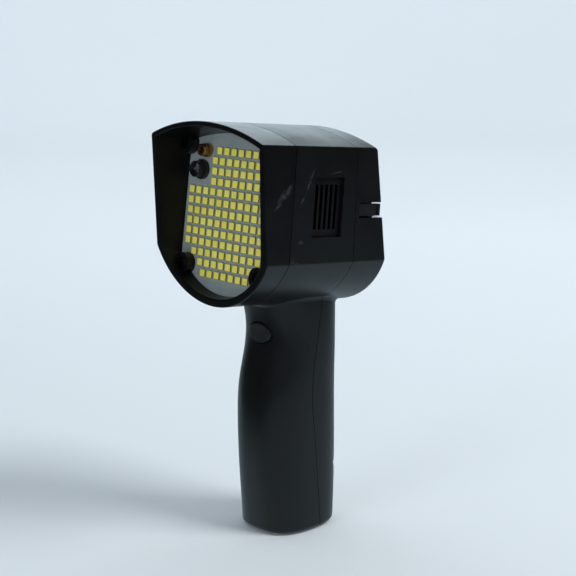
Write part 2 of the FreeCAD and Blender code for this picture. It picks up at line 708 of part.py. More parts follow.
def trigger_rails():
    """Grooved rails that hold the edges of the small board behind the trigger."""
    rails = []
    for side in (-1, 1):
        inner_x = TRIGGER_BOARD_HALF_WIDTH - TRIGGER_RAIL_LAP
        height = TRIGGER_BOARD_HALF_HEIGHT
        rail = box((inner_x, TRIGGER_BOARD_Y - TRIGGER_RAIL_WALL, TRIGGER_Z - height),
                   (HANDLE_HALF_WIDTH, TRIGGER_BOARD_Y + TRIGGER_BOARD + TRIGGER_RAIL_WALL, TRIGGER_Z + height))
        groove = box((inner_x - 1, TRIGGER_BOARD_Y, TRIGGER_Z - height - 1),
                     (TRIGGER_BOARD_HALF_WIDTH + THREAD_CLEARANCE, TRIGGER_BOARD_Y + TRIGGER_BOARD,
                      TRIGGER_Z + height + 1))
        rails.append(mirrored(rail.cut(groove), side).common(handle_solid(WALL / 2)))
    return rails


def port_low():
    """Lowest corner of the charging pocket."""
    return (PORT_FLOOR, PORT_FRONT_Y, PORT_Z - PORT_HEIGHT / 2)


def port_pocket():
    return box(port_low(), (HEAD_HALF_WIDTH + 5, REACH, PORT_Z + PORT_HEIGHT / 2))


def port_box():
    """Walls round the charging pocket."""
    low = [value - PORT_WALL for value in port_low()]
    return box(low, (HEAD_HALF_WIDTH - WALL / 2, REACH, PORT_Z + PORT_HEIGHT / 2 + PORT_WALL))


def cover_span():
    """Front and rear of the port cover along y, and the x of its outer and inner faces."""
    front = PORT_FRONT_Y + COVER_FRONT_GAP
    rear = REAR_Y + REAR_SLOPE * (PORT_Z + PORT_HEIGHT / 2) - COVER_REAR_INSET
    outer = HEAD_HALF_WIDTH - COVER_RECESS
    return front, rear, outer, outer - COVER_THICKNESS


def cover_pin_place():
    front, _, outer, inner = cover_span()
    return outer - COVER_THICKNESS / 2, front + COVER_THICKNESS / 2


def jack_middle_y():
    return PORT_FRONT_Y + JACK_OFFSET_Y


def make_rear_housing(outer, inner):
    shell = outer.cut(inner)
    rear = shell.common(rear_region(SEAM_GAP))
    ring = case_form(TONGUE_INSET - TONGUE_CLEARANCE, BASE_FLOOR).cut(
        case_form(WALL + TONGUE_CLEARANCE, BASE_FLOOR))
    tongue_room = ring.common(rear_region().cut(rear_region(TONGUE_LENGTH + TONGUE_CLEARANCE)))
    additions = [placed(port_box(), SHELL).common(solid_case())]
    for x, z in both_sides(CASE_SCREW_PLACES):
        boss = rod(CASE_BOSS_RADIUS, CASE_BOSS_START, REAR_Y + REACH / 4, x, z)
        additions.append(placed(boss, SHELL).common(solid_case()))
    for x, z in GRIP_SCREW_PLACES:
        additions.append(rod(CASE_BOSS_RADIUS, -REACH / 4, REACH, x, z).common(handle_solid(WALL / 2)))
    for x, z in both_sides(BOARD_SCREW_PLACES):
        additions.append(placed(rod(BOARD_POST_RADIUS, MAIN_BOARD_Y, -WALL / 2, x, z), REAR))
    rear = rear.fuse(join(additions).common(rear_region(SEAM_GAP))).cut(tongue_room)
    cuts = [placed(port_pocket(), SHELL)]
    hole = M25_RADIUS + SCREW_CLEARANCE
    bore = M25_HEAD_RADIUS + SCREW_CLEARANCE
    for x, z in both_sides(CASE_SCREW_PLACES):
        cuts.append(placed(rod(hole, 0, REACH, x, z), SHELL))
        cuts.append(placed(rod(bore, CASE_SCREW_SEAT, REACH, x, z), SHELL))
    for x, z in GRIP_SCREW_PLACES:
        cuts.append(rod(hole, -REACH / 4, REACH, x, z))
        cuts.append(rod(bore, GRIP_SCREW_SEAT, REACH, x, z))
    for x, z in both_sides(BOARD_SCREW_PLACES):
        cuts.append(placed(rod(M25_RADIUS + THREAD_CLEARANCE, MAIN_BOARD_Y - 1, -WALL, x, z), REAR))
    sunk = WINDOW_THICKNESS + WINDOW_SUNK
    cuts.append(placed(block(WINDOW_WIDTH + 0.2, WINDOW_HEIGHT + 0.2, -sunk, 5, 0, DISPLAY_Z), REAR))
    cuts.append(placed(block(VIEW_WIDTH, VIEW_HEIGHT, -WALL - 1, 0, 0, DISPLAY_Z), REAR))
    for _, x, z in KEY_PLACES:
        cuts.append(placed(pill(KEY_WIDTH + 2 * KEY_GAP, KEY_HEIGHT + 2 * KEY_GAP, -WALL - 1, 5, x, z), REAR))
    cuts.append(placed(jack_block(JACK_WALL / 4), SHELL))
    pin_x, pin_y = cover_pin_place()
    pin_hole = Part.makeCylinder(COVER_PIN_RADIUS + THREAD_CLEARANCE, PORT_HEIGHT + 2,
                                 V(pin_x, pin_y, PORT_Z - PORT_HEIGHT / 2 - 1))
    cuts.append(placed(pin_hole, SHELL))
    return rear.cut(cuts)


def make_housing_screws():
    tip = CASE_SCREW_SEAT - CASE_SCREW_LENGTH
    screws = [placed(screw(M25_RADIUS, M25_HEAD_RADIUS, M25_HEAD_HEIGHT, CASE_SCREW_SEAT, tip, x, z), SHELL)
              for x, z in both_sides(CASE_SCREW_PLACES)]
    tip = GRIP_SCREW_SEAT - CASE_SCREW_LENGTH
    screws += [screw(M25_RADIUS, M25_HEAD_RADIUS, M25_HEAD_HEIGHT, GRIP_SCREW_SEAT, tip, x, z)
               for x, z in GRIP_SCREW_PLACES]
    return group(screws)


def make_vent_gauzes():
    low = (HEAD_HALF_WIDTH - VENT_PAD - GAUZE, VENT_Y - VENT_LENGTH / 2, VENT_Z - VENT_HEIGHT / 2)
    high = (HEAD_HALF_WIDTH - VENT_PAD, VENT_Y + VENT_LENGTH / 2, VENT_Z + VENT_HEIGHT / 2)
    return [placed(mirrored(box(low, high), side), SHELL) for side in (-1, 1)]


def make_tripod_insert():
    body = Part.makeCylinder(TRIPOD_OUTER - THREAD_CLEARANCE, TRIPOD_LENGTH, V(0, TRIPOD_Y, 0))
    return body.cut(Part.makeCylinder(TRIPOD_RADIUS, TRIPOD_LENGTH + 2, V(0, TRIPOD_Y, -1)))


# ---- charging port ---------------------------------------------------------------------------------------
def jack_block(clearance=0.0):
    half = JACK_LENGTH / 2 + clearance
    height = JACK_HEIGHT / 2 + clearance
    middle = jack_middle_y()
    return box((PORT_FLOOR + JACK_PROUD - JACK_DEPTH, middle - half, PORT_Z - height),
               (PORT_FLOOR + JACK_PROUD, middle + half, PORT_Z + height))


def make_charge_jack():
    jack = jack_block()
    middle = jack_middle_y()
    half, height = JACK_LENGTH / 2 - JACK_WALL, JACK_HEIGHT / 2 - JACK_WALL
    mouth = box((PORT_FLOOR + JACK_PROUD - JACK_DEPTH + 1, middle - half, PORT_Z - height),
                (PORT_FLOOR + JACK_PROUD + 1, middle + half, PORT_Z + height))
    tongue = box((PORT_FLOOR + JACK_PROUD - JACK_DEPTH + 0.5, middle - half * 0.75, PORT_Z - 0.35),
                 (PORT_FLOOR + JACK_PROUD - 1.0, middle + half * 0.75, PORT_Z + 0.35))
    corners = edges_where(jack, lambda e: e.BoundBox.XLength > JACK_DEPTH - 0.1)
    return placed(jack.makeFillet(JACK_HEIGHT * 0.35, corners).cut(mouth).fuse(tongue), SHELL)


def make_port_cover():
    front, rear, outer, inner = cover_span()
    pin_x, pin_y = cover_pin_place()
    radius = COVER_THICKNESS / 2
    low, high = PORT_Z - COVER_HEIGHT / 2, PORT_Z + COVER_HEIGHT / 2
    knuckle = Part.makeCylinder(radius, COVER_HEIGHT, V(pin_x, pin_y, low))
    leaf = box((inner, pin_y, low), (outer, rear, high))
    grip = box((outer, rear - 2.2, low + 0.8), (outer + 0.7, rear - 1.2, high - 0.8))
    cover = join([knuckle, leaf, grip])
    return placed(cover.cut(Part.makeCylinder(COVER_PIN_RADIUS + COVER_PIN_CLEARANCE, COVER_HEIGHT + 2,
                                              V(pin_x, pin_y, low - 1))), SHELL)


def make_cover_pin():
    pin_x, pin_y = cover_pin_place()
    return placed(Part.makeCylinder(COVER_PIN_RADIUS, PORT_HEIGHT + 1.6,
                                    V(pin_x, pin_y, PORT_Z - PORT_HEIGHT / 2 - 0.8)), SHELL)


# ---- trigger -----------------------------------------------------------------------------------------------
def make_trigger_button():
    cap = oval(TRIGGER_HALF_WIDTH, TRIGGER_HALF_HEIGHT, -REACH / 2, TRIGGER_FLANGE_Y, TRIGGER_Z)
    cap = cap.common(handle_solid(-TRIGGER_PROUD))
    flange = oval(TRIGGER_HALF_WIDTH + TRIGGER_LEDGE, TRIGGER_HALF_HEIGHT + TRIGGER_LEDGE,
                  TRIGGER_FLANGE_Y, TRIGGER_FLANGE_Y + TRIGGER_FLANGE, TRIGGER_Z)
    stem_start = TRIGGER_FLANGE_Y + TRIGGER_FLANGE
    stem = rod(TRIGGER_STEM_RADIUS, stem_start, stem_start + TRIGGER_STEM, 0, TRIGGER_Z)
    return join([cap, flange, stem])


def tact_switch(y, x, z, outwards):
    """A square tactile switch on a board face at y, its plunger towards outwards."""
    half = TACT_SIZE
    top = y + outwards * TACT_BODY
    tip = top + outwards * TACT_PLUNGER
    body = block(half, half, min(y, top), max(y, top), x, z)
    return join([body, rod(TACT_PLUNGER_RADIUS, min(top, tip), max(top, tip), x, z)])


def make_trigger_switch():
    return tact_switch(TRIGGER_BOARD_Y, 0, TRIGGER_Z, -1)


def make_trigger_board():
    return block(2 * TRIGGER_BOARD_HALF_WIDTH, 2 * TRIGGER_BOARD_HALF_HEIGHT, TRIGGER_BOARD_Y,
                 TRIGGER_BOARD_Y + TRIGGER_BOARD, 0, TRIGGER_Z)


def make_trigger_spring():
    """Half circles that lean forwards and back in turn, so that each meets the next one squarely."""
    start = TRIGGER_FLANGE_Y + TRIGGER_FLANGE + SPRING_WIRE
    step = (TRIGGER_BOARD_Y - SPRING_WIRE - start) / SPRING_HALF_TURNS
    side, over = SPRING_RADIUS, 1
    arcs = []
    for turn in range(SPRING_HALF_TURNS):
        first = V(side, start + turn * step, TRIGGER_Z)
        last = V(-side, start + (turn + 1) * step, TRIGGER_Z)
        reach = (last - first).Length / 2
        middle = (first + last) * 0.5 + V(0, 0, over * reach)
        arcs.append(Part.Arc(first, middle, last).toShape())
        side, over = -side, -over
    profile = Part.Wire(Part.makeCircle(SPRING_WIRE, V(SPRING_RADIUS, start, TRIGGER_Z), UP))
    return Part.Wire(arcs).makePipeShell([profile], True, False)


# ---- display side --------------------------------------------------------------------------------------------
def make_display_window():
    window = block(WINDOW_WIDTH, WINDOW_HEIGHT, -WINDOW_THICKNESS - WINDOW_SUNK, -WINDOW_SUNK, 0, DISPLAY_Z)
    return placed(window, REAR)


def make_lcd_panel():
    return placed(block(PANEL_WIDTH, PANEL_HEIGHT, BEZEL_FRONT - PANEL_THICKNESS, BEZEL_FRONT, 0, DISPLAY_Z), REAR)


def make_backlight():
    top = BEZEL_FRONT - PANEL_THICKNESS
    return placed(block(VIEW_WIDTH, VIEW_HEIGHT, top - BACKLIGHT_THICKNESS, top, 0, DISPLAY_Z), REAR)


def make_lcd_bezel():
    bezel = block(BEZEL_WIDTH, BEZEL_HEIGHT, MAIN_BOARD_Y, BEZEL_FRONT, 0, DISPLAY_Z)
    pocket = block(PANEL_WIDTH + 0.2, PANEL_HEIGHT + 0.2, BEZEL_FRONT - PANEL_THICKNESS, 0, 0, DISPLAY_Z)
    through = block(VIEW_WIDTH + 0.2, VIEW_HEIGHT + 0.2, MAIN_BOARD_Y - 1, 0, 0, DISPLAY_Z)
    return placed(bezel.cut(pocket).cut(through), REAR)


def make_main_board():
    outline = [(-MAIN_BOARD_HALF_WIDTH, MAIN_BOARD_TOP), (MAIN_BOARD_HALF_WIDTH, MAIN_BOARD_TOP),
               (MAIN_BOARD_HALF_WIDTH, MAIN_BOARD_KNEE), (MAIN_BOARD_FOOT, MAIN_BOARD_BOTTOM),
               (-MAIN_BOARD_FOOT, MAIN_BOARD_BOTTOM), (-MAIN_BOARD_HALF_WIDTH, MAIN_BOARD_KNEE)]
    low = MAIN_BOARD_Y - BOARD_THICKNESS
    wire = Part.makePolygon([V(x, low, z) for x, z in outline + outline[:1]])
    board = Part.Face(wire).extrude(V(0, BOARD_THICKNESS, 0))
    for x, z in both_sides(BOARD_SCREW_PLACES):
        board = board.cut(rod(M25_RADIUS + SCREW_CLEARANCE, low - 1, MAIN_BOARD_Y + 1, x, z))
    return placed(board, REAR)


def make_board_screws():
    seat = MAIN_BOARD_Y - BOARD_THICKNESS
    tip = -WALL - 1
    return placed(group(screw(M25_RADIUS, M25_HEAD_RADIUS, M25_HEAD_HEIGHT, seat, tip, x, z)
                        for x, z in both_sides(BOARD_SCREW_PLACES)), REAR)


def make_key(x, z):
    flange_top = -WALL - KEY_FLANGE_GAP
    cap = pill(KEY_WIDTH, KEY_HEIGHT, flange_top, KEY_PROUD, x, z)
    cap = cap.makeFillet(KEY_EDGE, edges_where(cap, lambda e: abs(e.BoundBox.YMin - KEY_PROUD) < 1e-4))
    flange = pill(KEY_WIDTH + 2 * KEY_LEDGE, KEY_HEIGHT + 2 * KEY_LEDGE, flange_top - KEY_FLANGE, flange_top, x, z)
    plunger = MAIN_BOARD_Y + TACT_BODY + TACT_PLUNGER
    stem = rod(KEY_STEM_RADIUS, plunger + KEY_TRAVEL + KEY_STOP, flange_top - KEY_FLANGE, x, z)
    return placed(join([cap, flange, stem]), REAR)


def make_key_switches():
    return placed(group(tact_switch(MAIN_BOARD_Y, x, z, 1) for _, x, z in KEY_PLACES), REAR)


# ---- cells ---------------------------------------------------------------------------------------------------
def cell_places():
    return {"battery_front": -CELL_SPACING / 2, "battery_rear": CELL_SPACING / 2}


def make_cell(y):
    body = Part.makeCylinder(CELL_RADIUS, CELL_LENGTH, V(0, y, CELL_FLOOR))
    body = body.makeFillet(0.8, edges_where(body, lambda e: len(e.Vertexes) == 1))
    return join([body, Part.makeCylinder(CELL_NUB_RADIUS, CELL_NUB, V(0, y, CELL_FLOOR + CELL_LENGTH))])


def make_battery_holder():
    low, high = HOLDER_LOW, HOLDER_HIGH
    reach = CELL_SPACING / 2 + CELL_RADIUS + HOLDER_WALL
    tray = box((-HOLDER_DEPTH, -reach, low - HOLDER_WALL), (0, reach, high + HOLDER_WALL))
    for end in ((low - HOLDER_WALL, low), (high, high + HOLDER_WALL)):
        tray = tray.fuse(box((0, -reach, end[0]), (HOLDER_END_REACH, reach, end[1])))
    for y in cell_places().values():
        tray = tray.cut(Part.makeCylinder(CELL_RADIUS + HOLDER_CLEARANCE, high - low, V(0, y, low)))
    return tray.common(handle_solid(WALL + HOLDER_INSET))


def make_battery_contacts():
    low, high = HOLDER_LOW, HOLDER_HIGH
    contacts = []
    for y in cell_places().values():
        contacts.append(box((-CONTACT_HALF, y - CONTACT_HALF, high - CONTACT),
                            (CONTACT_HALF, y + CONTACT_HALF, high)))
        foot = box((-CONTACT_HALF, y - CONTACT_HALF, low), (CONTACT_HALF, y + CONTACT_HALF, low + CONTACT))
        bump = Part.makeCone(CONTACT_HALF * 0.8, CONTACT_HALF * 0.35, CONTACT_BUMP - CONTACT, V(0, y, low + CONTACT))
        contacts.append(join([foot, bump]))
    return group(contacts)


# ---- leads ------------------------------------------------------------------------------------------------------
def lead(points, radius=LEAD_RADIUS, bend=LEAD_BEND):
    """A round wire: straight runs joined by tangent arcs."""
    edges = []
    start = points[0]
    for before, corner, after in zip(points, points[1:], points[2:]):
        back = (before - corner).normalize()
        on = (after - corner).normalize()
        half_turn = (math.pi - back.getAngle(on)) / 2
        trim = bend * math.tan(half_turn)
        entry, leave = corner + back * trim, corner + on * trim
        inward = (back + on).normalize()
        middle = corner + inward * (bend / math.cos(half_turn) - bend)
        edges.append(Part.makeLine(start, entry))
        edges.append(Part.Arc(entry, middle, leave).toShape())
        start = leave
    edges.append(Part.makeLine(start, points[-1]))
    path = Part.Wire(edges)
    direction = points[1] - points[0]
    profile = Part.Wire(Part.makeCircle(radius, points[0], direction))
    return path.makePipeShell([profile], True, True)


def make_battery_leads():
    """Two wires from the top plate of the cells up to the foot of the main board."""
    leads = {}
    for name, x in (("battery_lead_positive", LEAD_APART), ("battery_lead_negative", -LEAD_APART)):
        back = MAIN_BOARD_Y - BOARD_THICKNESS
        board = REAR.multVec(V(x, back, MAIN_BOARD_BOTTOM + LEAD_BEND))
        away = REAR.multVec(V(x, back - LEAD_LIFT, MAIN_BOARD_BOTTOM + LEAD_BEND))
        start = V(x, LEAD_Y, HOLDER_HIGH + HOLDER_WALL)
        rise = V(x, LEAD_Y, away.z - LEAD_LIFT)
        leads[name] = lead([start, rise, away, board])
    return leads


def make_led_leads():
    """Two wires from the back of the LED board, over the heat sink, to the main board."""
    leads = {}
    for name, x in (("led_lead_positive", LEAD_BEND), ("led_lead_negative", 2 * LEAD_BEND)):
        start = BOARD.multVec(V(x, BOARD_THICKNESS, SINK_TOP + LEAD_BEND))
        out = BOARD.multVec(V(x, BOARD_THICKNESS + LEAD_LIFT, SINK_TOP + LEAD_BEND))
        back = MAIN_BOARD_Y - BOARD_THICKNESS
        near = REAR.multVec(V(x, back - LEAD_LIFT, DISPLAY_Z + LEAD_BEND))
        end = REAR.multVec(V(x, back, DISPLAY_Z + LEAD_BEND))
        leads[name] = lead([start, out, near, end])
    return leads


# ---- the whole object ---------------------------------------------------------------------------------------------
def build():
    outer = outer_form()
    inner = case_form(WALL, BASE_FLOOR)
    parts = {
        "front_hood": make_front_hood(),
        "hood_gasket": make_hood_gasket(),
        "hood_screws": make_hood_screws(),
        "front_housing": make_front_housing(outer, inner),
        "rear_housing": make_rear_housing(outer, inner),
        "housing_screws": make_housing_screws(),
        "led_board": make_led_board(),
        "led_array": make_led_array(),
        "heat_sink": make_heat_sink(),
        "laser_barrel": make_laser_barrel(),
        "laser_lens": make_laser_lens(),
        "laser_diode": make_laser_diode(),
        "sensor_tube": make_sensor_tube(),
        "sensor_lens": make_sensor_lens(),
        "photodiode": make_photodiode(),
        "tripod_insert": make_tripod_insert(),
        "charge_jack": make_charge_jack(),
        "port_cover": make_port_cover(),
        "cover_pin": make_cover_pin(),
        "trigger_button": make_trigger_button(),
        "trigger_spring": make_trigger_spring(),
        "trigger_switch": make_trigger_switch(),
        "trigger_board": make_trigger_board(),
        "display_window": make_display_window(),
        "lcd_panel": make_lcd_panel(),
        "lcd_bezel": make_lcd_bezel(),
        "backlight": make_backlight(),
        "main_board": make_main_board(),
        "board_screws": make_board_screws(),
        "key_switches": make_key_switches(),
        "battery_holder": make_battery_holder(),
        "battery_contacts": make_battery_contacts(),
    }
    parts["vent_gauze_left"], parts["vent_gauze_right"] = make_vent_gauzes()
    for name, x, z in KEY_PLACES:
        parts[name] = make_key(x, z)
    for name, y in cell_places().items():
        parts[name] = make_cell(y)
    parts.update(make_battery_leads())
    parts.update(make_led_leads())
    return parts


def main():
    os.makedirs("parts", exist_ok=True)
    for name, shape in build().items():
        solids = shape.Solids
        node = solids[0] if len(solids) == 1 else Part.makeCompound(solids)
        print(f"{name:24s} solids {len(solids):3d} volume {node.Volume:10.1f} valid {node.isValid()}")
        node.exportStep(f"parts/{name}.step")


main()
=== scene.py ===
# %% [markdown]
# # A hand-held LED timing light
# The tool is a pistol-shaped stroboscope. Its head holds a board of yellow-white LEDs behind a deep
# black hood, with a small laser pointer and a light receiver in the corner of the board. The packed
# CAD model is the frame: it has every solid in its right place, so this file adds only what CAD does
# poorly, which is small detail, finishes and light. All lengths are in metres, as Blender wants them.

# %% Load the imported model
import math
import random

import bpy
from mathutils import Matrix, Vector


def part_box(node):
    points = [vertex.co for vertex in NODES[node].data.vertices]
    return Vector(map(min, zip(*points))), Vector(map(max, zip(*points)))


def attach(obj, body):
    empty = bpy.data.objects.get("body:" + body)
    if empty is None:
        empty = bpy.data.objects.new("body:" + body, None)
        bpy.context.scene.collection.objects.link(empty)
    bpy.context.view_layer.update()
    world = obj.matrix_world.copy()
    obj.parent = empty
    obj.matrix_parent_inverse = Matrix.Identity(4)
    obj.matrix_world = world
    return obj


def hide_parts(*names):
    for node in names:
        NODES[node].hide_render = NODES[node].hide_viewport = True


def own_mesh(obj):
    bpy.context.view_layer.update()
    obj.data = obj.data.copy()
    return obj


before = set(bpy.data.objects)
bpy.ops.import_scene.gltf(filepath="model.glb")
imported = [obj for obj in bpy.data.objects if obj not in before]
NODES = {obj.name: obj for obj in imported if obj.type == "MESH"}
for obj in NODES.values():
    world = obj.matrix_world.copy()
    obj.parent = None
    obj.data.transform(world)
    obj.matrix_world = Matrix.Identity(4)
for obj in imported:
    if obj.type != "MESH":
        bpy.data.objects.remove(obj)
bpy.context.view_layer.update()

MM = 0.001
MERGE_DISTANCE = 0.001 * MM

# %% [markdown]
# The mouldings don't stand square to the floor. The head looks up by about five degrees, the LED board
# by seven, and the display side leans the other way. Each has its own set of axes here, as it has in the
# CAD source: x to the side, y towards the back and z up. A piece is modelled flat on these axes, where
# its numbers are simple, and its mesh is then laid into place by the matrix.

# %% The three leaning frames
SHELL_PITCH = 5.45
BOARD_PITCH = 7.45
REAR_LEAN = math.degrees(math.atan(0.209))


def leaning(origin, pitch):
    """The matrix from axes that look up by pitch degrees to the object's own axes."""
    return Matrix.Translation(origin) @ Matrix.Rotation(-math.radians(pitch), 4, "X")


HEAD_ORIGIN = Vector((0, -38.3, 161.3)) * MM
SHELL = leaning(HEAD_ORIGIN, SHELL_PITCH)
BOARD = leaning(HEAD_ORIGIN, BOARD_PITCH)
REAR = leaning(SHELL @ Vector((0, 65.2 * MM, 0)), SHELL_PITCH - REAR_LEAN)
print("back of the head at", [round(c, 4) for c in REAR.translation])

# %% [markdown]
# A mesh tool acts on whatever is selected, so each step starts from a clean selection. These few helpers
# are the hand movements that every piece below repeats: pick up one object, select its faces or edges by a
# rule, and apply its modifiers.

# %% Picking up and selecting
def put_down():
    """Back to object mode with nothing selected."""
    if bpy.context.object and bpy.context.object.mode != "OBJECT":
        bpy.ops.object.mode_set(mode="OBJECT")
    bpy.ops.object.select_all(action="DESELECT")


def pick_up(*objects):
    put_down()
    for each in objects:
        each.select_set(True)
    bpy.context.view_layer.objects.active = objects[-1]
    return objects[-1]


def select_only(piece, kind, parts, rule):
    """Select the faces or edges that pass the rule, and stay in edit mode."""
    pick_up(piece)
    bpy.ops.object.mode_set(mode="EDIT")
    bpy.ops.mesh.select_mode(type=kind)
    bpy.ops.mesh.select_all(action="DESELECT")
    bpy.ops.object.mode_set(mode="OBJECT")
    for part in parts:
        part.select = rule(part)
    bpy.ops.object.mode_set(mode="EDIT")


def select_faces(piece, rule):
    """A rule for faces takes the face's centre and normal."""
    select_only(piece, "FACE", piece.data.polygons, lambda face: rule(face.center, face.normal))


def select_edges(piece, rule):
    """A rule for edges takes the edge's two end points."""
    points = piece.data.vertices
    select_only(piece, "EDGE", piece.data.edges, lambda edge: rule(*(points[i].co for i in edge.vertices)))


def edit_all(piece):
    select_faces(piece, lambda middle, normal: True)


def pull(x, y, z):
    """Extrude the selected faces by an offset in metres."""
    bpy.ops.mesh.extrude_region_move(TRANSFORM_OT_translate={"value": (x, y, z)})


def resize(factors, middle=(0, 0, 0)):
    """Scale what is selected about a middle, given in metres."""
    bpy.ops.transform.resize(value=factors, center_override=middle)


def tidy_skin():
    """Merge points that coincide, in edit mode, and turn every face outward."""
    bpy.ops.mesh.select_all(action="SELECT")
    bpy.ops.mesh.remove_doubles(threshold=MERGE_DISTANCE)
    bpy.ops.mesh.normals_make_consistent(inside=False)
    put_down()


def use_modifier(piece, kind, **settings):
    """Add a modifier, set it and apply it."""
    pick_up(piece)
    modifier = piece.modifiers.new(kind.title(), kind)
    for key, value in settings.items():
        setattr(modifier, key, value)
    bpy.ops.object.modifier_apply(modifier=modifier.name)


def shade(piece, degrees):
    """Smooth shading, broken at edges that are sharper than so many degrees."""
    pick_up(piece)
    bpy.ops.object.shade_smooth_by_angle(angle=math.radians(degrees))
    put_down()


def settle(piece):
    """Move the object's place into its mesh, so that the object stands at the origin."""
    pick_up(piece)
    bpy.ops.object.transform_apply(location=True, rotation=True, scale=True)


put_down()
print("selected objects", len(bpy.context.selected_objects))

# %% [markdown]
# Two shapes come back again and again: a block between two corners, and a turned part. A lathe part is a
# profile turned about an axis, so a ring is pushed out and scaled along the profile. The finished mesh is laid
# into the frame, takes its finish, says what it rides on, and hides the CAD nodes that it stands for.

# %% Making and fitting
def cube(name, low, high):
    """A block between two corners, given in mm on the axes of its own frame."""
    put_down()
    low, high = Vector(low) * MM, Vector(high) * MM
    bpy.ops.mesh.primitive_cube_add(size=1, location=(low + high) / 2, scale=high - low)
    piece = bpy.context.object
    piece.name = name
    settle(piece)
    return piece


def turned(name, profile, sides, middle=(0, 0)):
    """A turned piece round an axis along y, from (y, radius) steps in mm.

    A profile that comes back to its first step makes a pierced piece, and any other makes a solid one."""
    put_down()
    y, radius = profile[0]
    x, z = middle
    pierced = profile[0] == profile[-1]
    bpy.ops.mesh.primitive_circle_add(vertices=sides, radius=radius * MM, rotation=(math.pi / 2, 0, 0),
                                      location=(x * MM, y * MM, z * MM),
                                      fill_type="NOTHING" if pierced else "NGON")
    piece = bpy.context.object
    piece.name = name
    settle(piece)
    bpy.ops.object.mode_set(mode="EDIT")
    bpy.ops.mesh.select_all(action="SELECT")
    push = bpy.ops.mesh.extrude_edges_move if pierced else bpy.ops.mesh.extrude_region_move
    for next_y, next_radius in profile[1:]:
        push(TRANSFORM_OT_translate={"value": (0, (next_y - y) * MM, 0)})
        factor = next_radius / radius
        resize((factor, 1, factor), (x * MM, next_y * MM, z * MM))
        y, radius = next_y, next_radius
    tidy_skin()
    return piece


def copy_at(piece, offset):
    """A copy with a mesh of its own, moved by an offset in mm."""
    twin = piece.copy()
    twin.data = piece.data.copy()
    twin.data.transform(Matrix.Translation(Vector(offset) * MM))
    bpy.context.collection.objects.link(twin)
    return twin


def joined(name, parts):
    """Several meshes as one piece."""
    piece = pick_up(*parts)
    if len(parts) > 1:
        bpy.ops.object.join()
    piece.name = piece.data.name = name
    return piece


def fit(piece, name, body, material, nodes=(), place=None):
    """Lay a finished mesh into the frame, give it its finish, say what it rides on, and hide the CAD nodes it stands
    for.
    """
    if place is not None:
        piece.data.transform(place)
    piece.name = piece.data.name = name
    if material is not None:
        piece.data.materials.clear()
        piece.data.materials.append(material)
    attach(piece, body)
    if nodes:
        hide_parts(*nodes)
    put_down()
    print(name, len(piece.data.polygons), "faces")
    return piece


print("shapes", cube.__name__, turned.__name__)

# %% [markdown]
# ## Camera
# The tool is seen from its front right, a little above the head. A long lens from about seventy
# centimetres keeps the sides of the head nearly parallel. Standing the camera on a circle round the handle,
# at a measured height, is easier to adjust than three loose coordinates.

# %% Camera
CAMERA_AZIMUTH = 46.2
CAMERA_DISTANCE = 0.682
CAMERA_HEIGHT = 0.268
AIM_HEIGHT = 0.1214
FOCAL_LENGTH = 87.76

turn = math.radians(CAMERA_AZIMUTH)
camera = bpy.data.objects.new("camera", bpy.data.cameras.new("camera"))
bpy.context.collection.objects.link(camera)
camera.location = (CAMERA_DISTANCE * math.sin(turn), -CAMERA_DISTANCE * math.cos(turn), CAMERA_HEIGHT)
gaze = Vector((0, 0, AIM_HEIGHT)) - camera.location
camera.rotation_euler = gaze.to_track_quat("-Z", "Y").to_euler()
camera.data.lens = FOCAL_LENGTH
camera.data.sensor_width = 36
camera.data.clip_start = 0.01
bpy.context.scene.camera = camera
print("camera at", [round(c, 3) for c in camera.location])

# %% [markdown]
# ## Studio
# The tool stands on pale paper whose rim curves up into a wall on every side, so no view meets a horizon.
# A disc whose rim is extruded up in a few widening steps gives such a bowl. Black plastic shows what it mirrors
# more than it shows light, so what it mirrors is made apart, of two pieces that only reflections see. One is
# a smaller sheet under and behind the tool, and the other is a large panel above the camera. The sheet ends just
# beside the tool, and past it everything is dark. That is what keeps the sides black while the crown, which
# mirrors the sheet's wall at a low angle, turns pale.

# %% The bowl of paper
BEND_STEPS = 16


def bend(step, steps, radius):
    """How far one step of a quarter circle goes outwards and up."""
    a0, a1 = (math.pi / 2 * k / steps for k in (step, step + 1))
    return radius * (math.sin(a1) - math.sin(a0)), radius * (math.cos(a0) - math.cos(a1))


def studio_bowl(name, floor_radius, bend_radius, height, level):
    """A round floor with a wall of the given height, joined by a bend."""
    put_down()
    bpy.ops.mesh.primitive_circle_add(vertices=160, radius=floor_radius, fill_type="NGON", location=(0, 0, level))
    bowl = bpy.context.object
    bowl.name = name
    settle(bowl)
    edit_all(bowl)
    radius = floor_radius
    for out, up in [bend(step, BEND_STEPS, bend_radius) for step in range(BEND_STEPS)] + [(0, height)]:
        widening = (radius + out) / radius
        pull(0, 0, up)
        resize((widening, widening, 1))
        radius += out
    bpy.ops.mesh.delete(type="FACE")
    pick_up(bowl)
    bpy.ops.object.shade_smooth()
    return bowl


seen_sheet = studio_bowl("studio_sheet", floor_radius=1.8, bend_radius=1.2, height=1.2, level=-0.0004)
seen_sheet.visible_glossy = False
print("bowl", len(seen_sheet.data.polygons), "faces")

# %% [markdown]
# The mirrored sheet is one plane, whose far edge is extruded up in steps. Its left edge gets a middle point that
# is pulled to the tool's own place, and its far corner is pulled out. So the left side of the head mirrors paper
# only where it looks far back.

# %% What the reflections see
SHEET_LEFT, SHEET_RIGHT = -0.15, 0.50
SHEET_NEAR, SHEET_FAR = -0.50, 0.9
SHEET_LEVEL = -0.0002
SHEET_BEND_RADIUS, SHEET_BEND_STEPS = 0.7, 14
SHEET_WALL = 1.2
SHEET_FLARE = 0.95
LEFT_POINT = 0.02
EDGE = 0.01


def only_mirrored(piece):
    """Reflections see the piece, and nothing else does."""
    piece.visible_camera = piece.visible_diffuse = piece.visible_shadow = False


